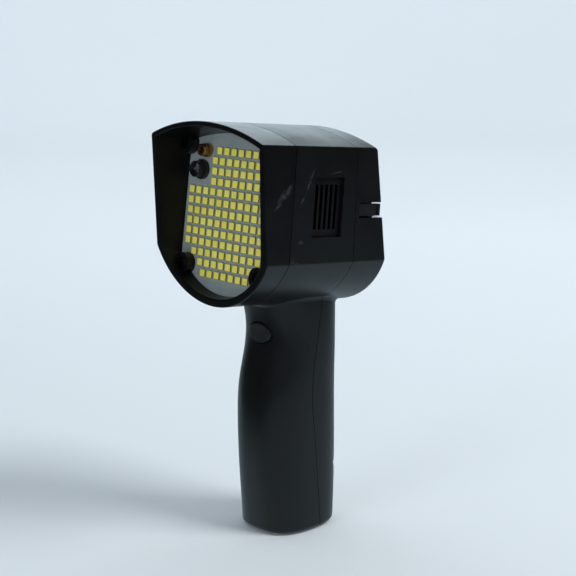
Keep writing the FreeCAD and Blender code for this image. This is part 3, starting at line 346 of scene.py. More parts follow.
def flat_plane(name, size, **place):
    put_down()
    bpy.ops.mesh.primitive_plane_add(size=1, **place)
    plane = bpy.context.object
    plane.name = name
    plane.scale = (*size, 1)
    settle(plane)
    return plane


mirrored_sheet = flat_plane("mirrored_sheet", (SHEET_RIGHT - SHEET_LEFT, SHEET_FAR - SHEET_NEAR),
                            location=((SHEET_LEFT + SHEET_RIGHT) / 2, (SHEET_FAR + SHEET_NEAR) / 2, SHEET_LEVEL))
select_edges(mirrored_sheet, lambda a, b: max(a.x, b.x) < SHEET_LEFT + EDGE)
bpy.ops.mesh.subdivide(number_cuts=1)
put_down()
for vertex in mirrored_sheet.data.vertices:
    if vertex.co.x < SHEET_LEFT + EDGE:
        if abs(vertex.co.y - (SHEET_FAR + SHEET_NEAR) / 2) < EDGE:
            vertex.co.y = LEFT_POINT
        elif vertex.co.y > 0:
            vertex.co.x = SHEET_LEFT - SHEET_FLARE
select_edges(mirrored_sheet, lambda a, b: min(a.y, b.y) > SHEET_FAR - EDGE)
sheet_bend = [bend(step, SHEET_BEND_STEPS, SHEET_BEND_RADIUS) for step in range(SHEET_BEND_STEPS)]
for back, up in sheet_bend + [(0, SHEET_WALL)]:
    pull(0, back, up)
pick_up(mirrored_sheet)
bpy.ops.object.shade_smooth()
mirrored_sheet.data.transform(Matrix.Rotation(turn, 4, "Z"))
only_mirrored(mirrored_sheet)


def around(azimuth, distance, height):
    """A place at an azimuth from the camera's own, so that 90 is the right of the view and 180 the far side."""
    a = turn + math.radians(azimuth)
    return (distance * math.sin(a), -distance * math.cos(a), height)


upper_panel = flat_plane("mirrored_panel", (2.6, 1.3), location=around(0, 2.1, 1.35),
                         rotation=(math.radians(70), 0, turn))
only_mirrored(upper_panel)
print("mirrored sheet", len(mirrored_sheet.data.polygons), "faces, panel", len(upper_panel.data.polygons))

# %% [markdown]
# A large soft key light stands to the right, a second lights the wall behind the tool, and a weak one fills the
# left of the front. Reflections don't see the lamps, because a lamp would stand as a hard square on the plastic.

# %% Lights
def soft_light(name, place, aim, size, power, colour):
    lamp = bpy.data.objects.new(name, bpy.data.lights.new(name, "AREA"))
    bpy.context.collection.objects.link(lamp)
    lamp.location = place
    lamp.rotation_euler = (Vector(aim) - Vector(place)).to_track_quat("-Z", "Y").to_euler()
    lamp.data.shape = "RECTANGLE"
    lamp.data.size, lamp.data.size_y = size
    lamp.data.energy = power
    lamp.data.color = colour
    lamp.visible_camera = lamp.visible_glossy = False


TOOL_MIDDLE = (0, 0, 0.13)
soft_light("key_light", around(70, 1.25, 1.35), TOOL_MIDDLE, (0.75, 0.75), 20.5, (1.0, 0.995, 0.985))
soft_light("backdrop_light", around(180, 0.9, 2.2), around(180, 2.6, 0.9), (3.0, 1.2), 41, (0.96, 0.985, 1.0))
soft_light("front_fill", around(-42, 1.5, 0.42), TOOL_MIDDLE, (0.7, 0.7), 6.5, (0.95, 0.98, 1.0))

# %% [markdown]
# The air round the studio is a different thing to each kind of ray. The camera sees a pale wall, soft light comes in
# evenly from all sides, and reflections see hardly anything.

# %% Air
world = bpy.data.worlds.new("studio_air")
bpy.context.scene.world = world
world.use_nodes = True
air = world.node_tree
air.nodes.remove(air.nodes["Background"])
ray = air.nodes.new("ShaderNodeLightPath")


def background(colour, strength):
    node = air.nodes.new("ShaderNodeBackground")
    node.inputs["Color"].default_value = (*colour, 1)
    node.inputs["Strength"].default_value = strength
    return node.outputs["Background"]


seen = background((0.80, 0.88, 0.95), 0.045)
for kind, colour, strength in (("Is Diffuse Ray", (0.98, 0.985, 1.0), 0.235),
                               ("Is Camera Ray", (0.72, 0.80, 0.87), 1.0)):
    mix = air.nodes.new("ShaderNodeMixShader")
    air.links.new(ray.outputs[kind], mix.inputs["Fac"])
    air.links.new(seen, mix.inputs[1])
    air.links.new(background(colour, strength), mix.inputs[2])
    seen = mix.outputs["Shader"]
air.links.new(seen, air.nodes["World Output"].inputs["Surface"])
bpy.context.scene.view_settings.view_transform = "Standard"
bpy.context.scene.view_settings.look = "None"
print("air nodes", len(air.nodes))

# %% [markdown]
# ## Finishes
# A finish is a small node tree. Most of them share the same parts: a noise that reads the object's own
# coordinates, a ramp that turns it into a colour or a roughness, and a bump. These helpers add one such part
# each, so that a finish reads as a short recipe.

# %% Parts of a finish
def new_finish(name):
    print("finish", name)
    material = bpy.data.materials.new(name)
    material.use_nodes = True
    return material, material.node_tree, material.node_tree.nodes["Principled BSDF"]


def set_all(shader, **values):
    """Set or feed the shader's own sockets, with underscores for spaces."""
    for key, value in values.items():
        socket = shader.inputs[key.replace("_", " ")]
        if isinstance(value, bpy.types.NodeSocket):
            shader.id_data.links.new(value, socket)
        else:
            socket.default_value = value


def coordinates(tree, place=None, stretch=(1, 1, 1)):
    """The piece's own coordinates, laid onto one of the leaning frames if it is given."""
    source = tree.nodes.new("ShaderNodeTexCoord").outputs["Object"]
    if place is None and stretch == (1, 1, 1):
        return source
    mapping = tree.nodes.new("ShaderNodeMapping")
    back = place.inverted() if place is not None else Matrix.Identity(4)
    mapping.inputs["Location"].default_value = back.translation
    mapping.inputs["Rotation"].default_value = back.to_euler()
    tree.links.new(source, mapping.inputs["Vector"])
    if stretch == (1, 1, 1):
        return mapping.outputs["Vector"]
    scaled = tree.nodes.new("ShaderNodeMapping")
    scaled.inputs["Scale"].default_value = stretch
    tree.links.new(mapping.outputs["Vector"], scaled.inputs["Vector"])
    return scaled.outputs["Vector"]


def noise(tree, scale, detail=2.0, where=None, roughness=0.5):
    node = tree.nodes.new("ShaderNodeTexNoise")
    node.inputs["Scale"].default_value = scale
    node.inputs["Detail"].default_value = detail
    node.inputs["Roughness"].default_value = roughness
    tree.links.new(where or coordinates(tree), node.inputs["Vector"])
    return node.outputs["Fac"]


def ramp(tree, value, *stops):
    """A colour ramp from (position, colour) stops."""
    node = tree.nodes.new("ShaderNodeValToRGB")
    band = node.color_ramp
    while len(band.elements) < len(stops):
        band.elements.new(0.5)
    for element, (position, colour) in zip(band.elements, stops):
        element.position = position
        element.color = (*colour, 1)
    tree.links.new(value, node.inputs["Fac"])
    return node.outputs["Color"]


def spread(tree, value, low, high, from_low=0.3, from_high=0.7):
    """A number stretched from one range to another."""
    node = tree.nodes.new("ShaderNodeMapRange")
    for socket, number in zip(("From Min", "From Max", "To Min", "To Max"), (from_low, from_high, low, high)):
        node.inputs[socket].default_value = number
    tree.links.new(value, node.inputs["Value"])
    return node.outputs["Result"]


def calculate(tree, operation, first, second=0.5, third=0.5):
    """One step of arithmetic on sockets or numbers."""
    node = tree.nodes.new("ShaderNodeMath")
    node.operation = operation
    for socket, value in zip(node.inputs, (first, second, third)):
        if isinstance(value, (int, float)):
            socket.default_value = value
        else:
            tree.links.new(value, socket)
    return node.outputs["Value"]


def blend_colour(tree, factor, first, second):
    """Two colours mixed by a factor; a colour is a socket or three numbers."""
    node = tree.nodes.new("ShaderNodeMix")
    node.data_type = "RGBA"
    sockets = (node.inputs[0], node.inputs[6], node.inputs[7])
    for socket, value in zip(sockets, (factor, first, second)):
        if hasattr(value, "default_value"):
            tree.links.new(value, socket)
        elif isinstance(value, (int, float)):
            socket.default_value = value
        else:
            socket.default_value = (*value, 1)
    return node.outputs[2]


def bump(tree, shader, height, distance_mm, strength=1.0):
    node = tree.nodes.new("ShaderNodeBump")
    node.inputs["Distance"].default_value = distance_mm * MM
    node.inputs["Strength"].default_value = strength
    tree.links.new(height, node.inputs["Height"])
    tree.links.new(node.outputs["Normal"], shader.inputs["Normal"])


def separate(tree, vector):
    node = tree.nodes.new("ShaderNodeSeparateXYZ")
    tree.links.new(vector, node.inputs["Vector"])
    return node.outputs


def finish_with(name, pattern, tones, rough, stops=(0.3, 0.7), **sockets):
    """A whole finish from one pattern, which runs from one tone to another and from one roughness to another."""
    material, tree, shader = new_finish(name)
    scale, detail, *where = pattern
    fac = noise(tree, scale, detail, coordinates(tree, stretch=where[0]) if where else None)
    set_all(shader, Base_Color=ramp(tree, fac, *zip(stops, tones)), Roughness=spread(tree, fac, *rough), **sockets)
    return material, tree, shader, fac


def darker_lighter(tone, *factors):
    return [tuple(c * k for c in tone) for k in factors]


print("parts", [part.__name__ for part in (noise, ramp, spread, calculate, blend_colour, bump)])

# %% [markdown]
# ### The black mouldings
# The housings are near-black ABS with a satin face. A real moulding is never even: handling leaves faint
# cloudy patches where the gloss changes, and there are a few light scuffs. All of that is in the roughness and
# in very small changes of colour, because on black plastic the eye reads the reflection and hardly the colour. The
# hood is the same plastic from a more polished tool.

# %% Black plastic
def scuff(tree, place_yz, half_length, half_width, lean, rag):
    """A soft-edged mark on the right side, from 0 to 1, at y and z of the head's frame in mm."""
    x, y, z = separate(tree, coordinates(tree, SHELL))
    y = calculate(tree, "SUBTRACT", y, place_yz[0] * MM)
    z = calculate(tree, "SUBTRACT", z, place_yz[1] * MM)
    turn_c, turn_s = math.cos(math.radians(lean)), math.sin(math.radians(lean))
    along = calculate(tree, "MULTIPLY_ADD", y, turn_c, calculate(tree, "MULTIPLY", z, turn_s))
    across = calculate(tree, "MULTIPLY_ADD", z, turn_c, calculate(tree, "MULTIPLY", y, -turn_s))
    squares = []
    for reach, half in ((along, half_length), (across, half_width)):
        share = calculate(tree, "ABSOLUTE", calculate(tree, "DIVIDE", reach, half * MM))
        squares.append(calculate(tree, "POWER", share, 2.0))
    soft = spread(tree, calculate(tree, "ADD", *squares), 1.0, 0.0, 0.1, 1.0)
    broken = calculate(tree, "MULTIPLY", soft, spread(tree, rag, 0.0, 1.0, 0.38, 0.58))
    return calculate(tree, "MULTIPLY", broken, spread(tree, x, 0.0, 1.0, 0.02, 0.03))


# y and z of the middle, half length, half width, and lean from level, in mm and degrees
SIDE_SCUFFS = (
    (-3.0, 14.5, 7.0, 2.2, 46), (-6.0, 10.0, 4.5, 0.9, 40), (12.0, 19.5, 8.5, 0.8, 68), (8.5, 12.0, 3.5, 0.5, 58),
    (9.5, -7.0, 2.0, 1.2, 20), (4.8, -16.0, 2.6, 1.1, 75), (7.0, -17.2, 1.8, 0.8, 15), (30.0, 25.0, 5.0, 0.35, 12),
)


def black_plastic(name, gloss, tone, scuffed=False):
    material, tree, shader = new_finish(name)
    cloudy = noise(tree, 38, 5, roughness=0.62)
    grain = noise(tree, 2600, 1)
    rough = spread(tree, cloudy, gloss - 0.05, gloss + 0.07)
    rubbed = noise(tree, 240, 3, coordinates(tree, stretch=(1, 1, 0.16)), roughness=0.7)
    streaks = spread(tree, rubbed, 0.0, 0.05, 0.55, 0.75)
    rough = calculate(tree, "ADD", rough, streaks)
    dark, light = darker_lighter(tone, 0.85, 1.25)
    colour = ramp(tree, cloudy, (0.35, dark), (0.7, light))
    if scuffed:
        rag = noise(tree, 420, 4, roughness=0.65)
        worn = 0.0
        for y, z, half_length, half_width, lean in SIDE_SCUFFS:
            worn = calculate(tree, "MAXIMUM", scuff(tree, (y, z), half_length, half_width, lean, rag), worn)
        colour = blend_colour(tree, calculate(tree, "MULTIPLY", worn, 0.75), colour, (0.040, 0.043, 0.047))
        rough = calculate(tree, "MULTIPLY_ADD", worn, 0.16, rough)
    set_all(shader, Roughness=rough, Base_Color=colour, IOR=1.38, Specular_IOR_Level=0.5)
    bump(tree, shader, grain, 0.004, 0.5)
    return material


shell_black = black_plastic("shell_black_satin", 0.36, (0.0045, 0.0050, 0.0056), scuffed=True)
hood_black = black_plastic("hood_black_polished", 0.30, (0.0035, 0.0038, 0.0042), scuffed=True)
trigger_black = black_plastic("trigger_black_polished", 0.34, (0.015, 0.017, 0.018))
tube_black = black_plastic("receiver_tube_black", 0.30, (0.012, 0.012, 0.013))
inner_black = black_plastic("inner_black_moulding", 0.5, (0.012, 0.012, 0.012))

# %% [markdown]
# ### Rubber, white mouldings and wire covers
# Rubber and silicone scatter light more than plastic does and show a very fine pore, so they get a high
# roughness and a finer, deeper bump. The white parts inside are plain polypropylene.

# %% Rubber and small mouldings
def soft_rubber(name, tone, roughness=0.62, pore_mm=0.01):
    material, tree, shader, _ = finish_with(
        name, (90, 3), darker_lighter(tone, 0.88, 1.18), (roughness - 0.05, roughness + 0.06), (0.35, 0.68),
        Sheen_Weight=0.06, Specular_IOR_Level=0.4)
    bump(tree, shader, noise(tree, 3200, 2), pore_mm, 0.7)
    return material


rubber_black = soft_rubber("rubber_black_matt", (0.012, 0.012, 0.0125))
cover_rubber = soft_rubber("cover_rubber_black", (0.0035, 0.0038, 0.0042), 0.5)
key_grey = soft_rubber("key_silicone_grey", (0.055, 0.058, 0.062), 0.55, 0.006)
wire_red = soft_rubber("wire_cover_red", (0.50, 0.02, 0.018), 0.45, 0.003)
wire_black = soft_rubber("wire_cover_black", (0.012, 0.012, 0.012), 0.45, 0.003)
inner_white = soft_rubber("white_moulding", (0.78, 0.78, 0.76), 0.42, 0.003)

# %% [markdown]
# ### Metals
# Turned brass has fine rings round its axis from the tool, plated steel is nearly plain with a cloudy
# zinc bloom, and the heat sink is extruded, so its lines run along one way. In each case the same noise is
# stretched along one axis, which draws it out into lines.

# %% Metals
def metal(name, tone, roughness, stretch, line_mm, stain=None, metallic=1.0):
    stain = stain or darker_lighter(tone, 0.55)[0]
    material, tree, shader, _ = finish_with(
        name, (130, 4), (tone, stain), (roughness - 0.06, roughness + 0.12), (0.35, 0.75), Metallic=metallic)
    lines = noise(tree, 900, 3, coordinates(tree, stretch=stretch))
    bump(tree, shader, lines, line_mm, 0.6)
    return material


brass = metal("turned_brass", (0.66, 0.42, 0.17), 0.28, (0.06, 1.4, 0.06), 0.01, (0.34, 0.16, 0.05))
steel = metal("plated_steel", (0.55, 0.56, 0.57), 0.3, (1, 1, 1), 0.004)
dark_screw = metal("blackened_screw", (0.10, 0.10, 0.105), 0.36, (1, 1, 1), 0.004)
sink_aluminium = metal("extruded_aluminium", (0.74, 0.75, 0.77), 0.34, (1, 1, 0.03), 0.01)
gauze_steel = metal("gauze_dark_wire", (0.05, 0.05, 0.055), 0.45, (1, 1, 1), 0.003)
nickel = metal("nickel_spring_leaf", (0.62, 0.60, 0.56), 0.25, (1, 0.05, 1), 0.004)

# %% [markdown]
# ### Glass and clear covers
# The lenses are clear glass. The window over the display is clear polycarbonate with a faint tint and a few
# fine rubs. Both refract, so what lies behind them is really seen through them.

# %% Glass
def clear_cover(name, tint, ior, rub=0.0):
    return finish_with(name, (300, 3), darker_lighter(tint, 1, 0.96), (0.01, 0.03 + rub), (0.4, 0.8),
                       Transmission_Weight=1.0, IOR=ior)[0]


lens_glass = clear_cover("lens_glass", (0.92, 0.96, 1.0), 1.52)
window_clear = clear_cover("window_clear", (0.93, 0.96, 0.97), 1.585, 0.02)

# %% [markdown]
# ### LED board
# The board is glass-fibre sheet under white solder mask, which looks faintly blue. Copper under the mask
# shows as areas that are a shade greyer and stand up by a few hundredths of a millimetre: one land for each LED,
# with narrow gaps between the rows and the columns. The land pattern is worked out from the pitch of the LEDs, on
# the board's own axes.

# %% White LED board
LED_PITCH_X = 5.08
LED_PITCH_Z = 4.93
LED_TOP_ROW_Z = 30.5
LED_MIDDLE_COLUMN = 6.5


def cell_distance(tree, value, pitch, offset):
    """How far a coordinate is from the middle of its cell, from 0 to 0.5 of the pitch."""
    count = calculate(tree, "DIVIDE", calculate(tree, "ADD", value, offset * MM), pitch * MM)
    part = calculate(tree, "FRACT", calculate(tree, "ADD", count, 100.5))
    return calculate(tree, "ABSOLUTE", calculate(tree, "SUBTRACT", part, 0.5))


def white_board():
    material, tree, shader = new_finish("solder_mask_white")
    x, _, z = separate(tree, coordinates(tree, BOARD))
    across = cell_distance(tree, x, LED_PITCH_X, LED_PITCH_X / 2)
    along = cell_distance(tree, z, LED_PITCH_Z, -LED_TOP_ROW_Z)
    in_column = spread(tree, across, 1.0, 0.0, 0.455, 0.47)
    in_row = spread(tree, along, 1.0, 0.0, 0.40, 0.42)
    land = calculate(tree, "MULTIPLY", in_column, in_row)
    cloudy = noise(tree, 160, 3)
    mask = ramp(tree, cloudy, (0.3, (0.245, 0.285, 0.295)), (0.7, (0.285, 0.325, 0.335)))
    over_copper = ramp(tree, cloudy, (0.3, (0.225, 0.262, 0.262)), (0.7, (0.262, 0.30, 0.30)))
    set_all(shader, Base_Color=blend_colour(tree, land, mask, over_copper), Roughness=spread(tree, cloudy, 0.30, 0.42))
    bump(tree, shader, land, 0.03, 0.6)
    return material


def green_board():
    material, tree, shader = new_finish("solder_mask_green")
    x, _, z = separate(tree, coordinates(tree, REAR))
    across = cell_distance(tree, x, 1.27, 0)
    along = cell_distance(tree, z, 2.54, 0)
    wander = noise(tree, 110, 1)
    upright, level = spread(tree, across, 1, 0, 0.14, 0.18), spread(tree, along, 1, 0, 0.07, 0.1)
    track = calculate(tree, "MAXIMUM", upright, level)
    shown = calculate(tree, "MULTIPLY", track, spread(tree, wander, 0, 1, 0.48, 0.5))
    colour = blend_colour(tree, shown, (0.012, 0.085, 0.045), (0.02, 0.17, 0.08))
    set_all(shader, Base_Color=colour, Roughness=spread(tree, wander, 0.25, 0.35))
    bump(tree, shader, shown, 0.03, 0.6)
    return material


board_white = white_board()
board_green = green_board()

# %% [markdown]
# ### Yellow phosphor
# A white LED is a blue die under a yellow phosphor gel, and unlit it looks like a lemon-yellow square in a
# pale frame. Gel scatters light inside itself and has a slightly domed, wet surface, so it gets some subsurface
# light and a thin clear coat. No two dots of gel are quite alike: each LED's own tone is stored on its faces
# as an attribute and shifts the colour a little.

# %% Phosphor, LED frame and solder
def phosphor():
    material, tree, shader = new_finish("phosphor_gel_yellow")
    tone = tree.nodes.new("ShaderNodeAttribute")
    tone.attribute_name = "tone"
    speckle = noise(tree, 1500, 2)
    mixed = calculate(tree, "ADD", tone.outputs["Fac"], spread(tree, speckle, -0.12, 0.12))
    yellow = ramp(tree, mixed, (0.0, (0.78, 0.66, 0.07)), (0.5, (0.85, 0.77, 0.11)), (1.0, (0.88, 0.83, 0.17)))
    set_all(shader, Base_Color=yellow, Roughness=spread(tree, speckle, 0.28, 0.42), Subsurface_Weight=0.2,
            Subsurface_Scale=0.0006, Coat_Weight=0.25, Coat_Roughness=0.15)
    return material


phosphor_yellow = phosphor()
frame_white = finish_with("led_frame_white", (900, 2), ((0.34, 0.30, 0.10), (0.44, 0.40, 0.15)), (0.32, 0.45))[0]
solder = metal("solder_fillet", (0.42, 0.45, 0.41), 0.55, (1, 1, 1), 0.01, metallic=0.3)

# %% [markdown]
# ### Display
# An unlit liquid-crystal panel is a grey-green mirror under glass. Its dark segments are modelled below, as thin
# shapes on the panel, so the panel itself is only a fine gradient.

# %% Display panel, cell sleeve and key paint
def lcd_panel():
    material, tree, shader, _ = finish_with(
        "lcd_panel_grey_green", (25, 1), ((0.30, 0.34, 0.28), (0.36, 0.40, 0.33)), (0.2, 0.25), Metallic=0.25)
    set_all(shader, Roughness=spread(tree, noise(tree, 2500, 1), 0.18, 0.26))
    return material


def cell_film():
    material, tree, shader, creases = finish_with(
        "cell_film_blue", (160, 4, (1, 1, 0.2)), ((0.02, 0.10, 0.30), (0.03, 0.14, 0.38)), (0.2, 0.35))
    bump(tree, shader, creases, 0.03, 0.5)
    return material


lcd_grey = lcd_panel()
cell_sleeve = cell_film()
segment_dark = finish_with("lcd_segment_dark", (400, 1), ((0.05, 0.06, 0.06), (0.07, 0.08, 0.08)), (0.2, 0.3))[0]
mark_white = finish_with("key_mark_white", (700, 4), ((0.62, 0.63, 0.63), (0.72, 0.73, 0.73)), (0.5, 0.65))[0]

# %% [markdown]
# ### Paper for the studio
# The bowl is matt paper with a slight blue cast, and a little noise keeps it from looking like a flat fill. The
# sheet and the panel that only reflections see glow by themselves, softly at the floor and strongly at the wall.

# %% Studio paper
def studio_paper():
    material, tree, shader = new_finish("studio_paper")
    cloud = noise(tree, 1.5, 1)
    tone = ramp(tree, cloud, (0.3, (0.71, 0.770, 0.815)), (0.7, (0.73, 0.790, 0.835)))
    set_all(shader, Base_Color=tone, Roughness=0.9, Specular_IOR_Level=0.15)
    return material


def mirrored_paper(strength=1.0):
    material, tree, shader = new_finish("mirrored_paper")
    height = separate(tree, coordinates(tree))["Z"]
    level = ramp(tree, spread(tree, height, 0, 1, 0.02, 0.55), (0.0, (0.47, 0.60, 0.68)), (1.0, (1.72, 2.05, 2.25)))
    set_all(shader, Base_Color=(0, 0, 0, 1), Roughness=1.0, Specular_IOR_Level=0.0, Emission_Color=level,
            Emission_Strength=strength)
    return material


seen_sheet.data.materials.append(studio_paper())
upper_panel.data.materials.append(mirrored_paper(0.3))
mirrored_sheet.data.materials.append(mirrored_paper())

# %% [markdown]
# ### Which node gets which finish
# Most CAD nodes already have the right shape, so they stay and only take a finish. The table gives the finish
# of each one by name.

# %% Finishes of the CAD nodes
FINISHES = {
    shell_black: ["front_housing", "rear_housing"],
    hood_black: ["front_hood"],
    rubber_black: ["hood_gasket"],
    cover_rubber: ["port_cover"],
    key_grey: ["key_power", "key_mode", "key_up", "key_halve", "key_double", "key_down"],
    trigger_black: ["trigger_button"],
    board_white: ["led_board"],
    phosphor_yellow: ["led_array"],
    board_green: ["main_board", "trigger_board"],
    brass: ["laser_barrel", "tripod_insert"],
    nickel: ["battery_contacts"],
    steel: ["board_screws", "trigger_spring", "cover_pin", "charge_jack", "laser_diode", "photodiode"],
    dark_screw: ["hood_screws", "housing_screws"],
    gauze_steel: ["vent_gauze_left", "vent_gauze_right"],
    sink_aluminium: ["heat_sink"],
    tube_black: ["sensor_tube"],
    lens_glass: ["laser_lens", "sensor_lens"],
    window_clear: ["display_window"],
    lcd_grey: ["lcd_panel"],
    inner_white: ["lcd_bezel", "backlight"],
    inner_black: ["battery_holder", "key_switches", "trigger_switch"],
    cell_sleeve: ["battery_front", "battery_rear"],
    wire_red: ["battery_lead_positive", "led_lead_positive"],
    wire_black: ["battery_lead_negative", "led_lead_negative"],
}
for finish, names in FINISHES.items():
    for name in names:
        NODES[name].data.materials.clear()
        NODES[name].data.materials.append(finish)
left_out = set(NODES) - {name for names in FINISHES.values() for name in names}
print("nodes without a finish:", sorted(left_out))

# %% [markdown]
# ## LEDs
# Each LED is a pale plastic tray with a shallow square well of yellow gel, and two solder fillets join it to
# the board. It is modelled once: a block, whose front is inset and pushed in for the well, inset again
# and pulled out a little for the swell of the gel. A loop then copies it along the rows. Each copy keeps a
# mesh of its own, with its own tone, and at the end they become one piece.

# %% One LED
LED_ROWS = (
    (4.5, 7), (4, 9), (4, 9), (4, 9), (1, 12), (1, 12), (1, 12),
    (1, 12), (1, 12), (1, 12), (2, 10), (3, 8), (3.5, 7),
)
LED_HALF_WIDTH = 1.85
LED_HALF_HEIGHT = 1.7
LED_THICKNESS = 0.8
TRAY_RIM, WELL_DEPTH = 0.09, 0.12
GEL_SLOPE, GEL_SWELL = 0.4, 0.07
FILLET_HALF_LENGTH, FILLET_REACH = 0.75, 0.22


def led():
    tray = cube("led", (-LED_HALF_WIDTH, -LED_THICKNESS, -LED_HALF_HEIGHT), (LED_HALF_WIDTH, 0, LED_HALF_HEIGHT))
    for finish in (frame_white, phosphor_yellow, solder):
        tray.data.materials.append(finish)
    select_faces(tray, lambda middle, normal: normal.y < -0.9)
    bpy.ops.mesh.inset(thickness=TRAY_RIM * MM)
    pull(0, WELL_DEPTH * MM, 0)
    tray.active_material_index = 1
    bpy.ops.object.material_slot_assign()
    bpy.ops.mesh.inset(thickness=GEL_SLOPE * MM)
    bpy.ops.transform.translate(value=(0, -GEL_SWELL * MM, 0))
    fillets = [cube("fillet", (x - FILLET_HALF_LENGTH, -FILLET_REACH, z - FILLET_REACH),
                    (x + FILLET_HALF_LENGTH, 0, z + FILLET_REACH))
               for x in (-0.95, 0.95) for z in (-LED_HALF_HEIGHT - 0.2, LED_HALF_HEIGHT + 0.2)]
    for fillet in fillets:
        select_faces(fillet, lambda middle, normal: normal.y < -0.9)
        resize((0.9, 1, 0.45), tuple(fillet.data.polygons[0].center))
        put_down()
        fillet.data.materials.append(solder)
    return joined("led", fillets + [tray])


first_led = led()
print("faces of one LED", len(first_led.data.polygons))

# %% Rows of LEDs
random.seed(7)
leds = []
for row, (first_column, count) in enumerate(LED_ROWS):
    for i in range(count):
        x = (first_column + i - LED_MIDDLE_COLUMN) * LED_PITCH_X
        z = LED_TOP_ROW_Z - row * LED_PITCH_Z
        wobble = [random.uniform(-0.06, 0.06) for _ in range(2)]
        twin = copy_at(first_led, (x + wobble[0], 0, z + wobble[1]))
        tone = twin.data.attributes.new("tone", "FLOAT", "FACE")
        level = random.uniform(0.3, 0.7)
        for item in tone.data:
            item.value = level
        leds.append(twin)
bpy.data.objects.remove(first_led)
print("LEDs", len(leds))
led_rows = joined("led_rows", leds)
fit(led_rows, "led_rows", "case", None, ["led_array"], BOARD)

# %% [markdown]
# ## Laser barrel
# A cheap laser module is a turned brass barrel with a ringed nose and a small mouth. Its profile comes back to its
# start, which leaves the barrel hollow, and the lens sits behind the mouth and is seen through it.

# %% Laser barrel and lens
LASER_PLACE = (-19.0, 30.1)
barrel = turned("laser_barrel", [
    (9.0, 1.9), (-4.3, 1.9), (-4.3, 1.15), (-4.9, 1.15), (-5.2, 1.7), (-5.2, 2.55), (-4.95, 2.85),
    (-4.2, 2.95), (-4.1, 2.6), (-3.7, 2.6), (-3.6, 3.0), (-3.1, 3.0), (-3.0, 2.7), (-2.75, 2.7),
    (-2.65, 3.0), (-2.0, 3.0), (-1.95, 3.35), (-0.35, 3.4), (0.0, 3.4), (0.0, 3.0), (9.0, 3.0), (9.0, 1.9),
], 56, LASER_PLACE)
shade(barrel, 40)
fit(barrel, "laser_barrel_turned", "case", brass, ["laser_barrel"], BOARD)

laser_glass = turned("laser_glass", [
    (-2.9, 1.85), (-4.15, 1.85), (-4.25, 1.5), (-4.28, 0.9), (-4.29, 0.3), (-4.29, 0.01),
], 32, LASER_PLACE)
shade(laser_glass, 50)
fit(laser_glass, "laser_glass", "case", lens_glass, ["laser_lens"], BOARD)

# %% [markdown]
# ## Light receiver
# The receiver picks up the flash of a reflective mark. It is a black tube with a stepped rim round a small domed
# lens, turned like the barrel. The step inside the mouth is what catches the light as a thin ring.

# %% Receiver tube and lens
TUBE_PLACE = (-22.0, 20.7)
tube = turned("receiver_tube", [
    (6.0, 2.7), (-3.6, 2.7), (-3.6, 3.05), (-5.1, 3.2), (-5.5, 3.45), (-5.5, 3.7), (-5.3, 3.9),
    (-1.9, 3.9), (-1.85, 4.6), (-1.6, 4.85), (0.0, 4.85), (0.0, 3.9), (6.0, 3.9), (6.0, 2.7),
], 64, TUBE_PLACE)
shade(tube, 40)
fit(tube, "receiver_tube", "case", tube_black, ["sensor_tube"], BOARD)

dome = turned("receiver_lens", [
    (-1.9, 2.66), (-3.3, 2.66), (-3.65, 2.4), (-3.95, 1.9), (-4.18, 1.3), (-4.32, 0.65), (-4.36, 0.01),
], 40, TUBE_PLACE)
shade(dome, 50)
fit(dome, "receiver_lens", "case", lens_glass, ["sensor_lens"], BOARD)

# %% [markdown]
# ## Screws
# All the screws are cross-recess pan heads. The head is turned with a rounded shoulder. The recess is cut with a
# Boolean by a crossed blade, a block whose four sides are pulled out into arms, and that gives the sharp inner
# corners that bevels can't. One screw of each size is made, and the others are copies.

# %% Screws
def cross_screw(name, head_radius, head_height, shank_radius, length):
    """A pan-head screw along y: the head faces -y and the shank runs to +y, its seat at y = 0."""
    screw = turned(name, [
        (length, shank_radius * 0.7), (length - 0.6, shank_radius), (0.0, shank_radius), (0.0, head_radius),
        (-head_height * 0.45, head_radius), (-head_height * 0.72, head_radius * 0.93),
        (-head_height * 0.9, head_radius * 0.76), (-head_height, head_radius * 0.5), (-head_height, 0.01),
    ], 40)
    arm, half_width, depth = head_radius * 0.56, head_radius * 0.15, head_height * 0.62
    blade = cube("blade", (-half_width, -head_height - 1, -half_width), (half_width, depth - head_height, half_width))
    for dx, dz in ((1, 0), (-1, 0), (0, 1), (0, -1)):
        select_faces(blade, lambda middle, normal: normal.x * dx + normal.z * dz > 0.9
                     and abs(middle.x * dz) + abs(middle.z * dx) < 0.01 * MM)
        reach = (arm - half_width) * MM
        pull(dx * reach, 0, dz * reach)
    select_faces(blade, lambda middle, normal: normal.y > 0.9)
    resize((0.62, 1, 0.62))
    use_modifier(screw, "BOOLEAN", object=blade, operation="DIFFERENCE", solver="EXACT")
    bpy.data.objects.remove(blade)
    shade(screw, 30)
    return screw


HOOD_SCREW_PLACES = ((26.9, -25.4), (31.4, 32.6))
HOOD_SCREW_SEAT = -2.2
hood_screw = cross_screw("hood_screw", 2.7, 1.8, 1.5, 13.0)
hood_set = [copy_at(hood_screw, (side * x, HOOD_SCREW_SEAT, z)) for x, z in HOOD_SCREW_PLACES for side in (-1, 1)]
bpy.data.objects.remove(hood_screw)
fit(joined("hood_screw_set", hood_set), "hood_screw_set", "case", dark_screw, ["hood_screws"], BOARD)

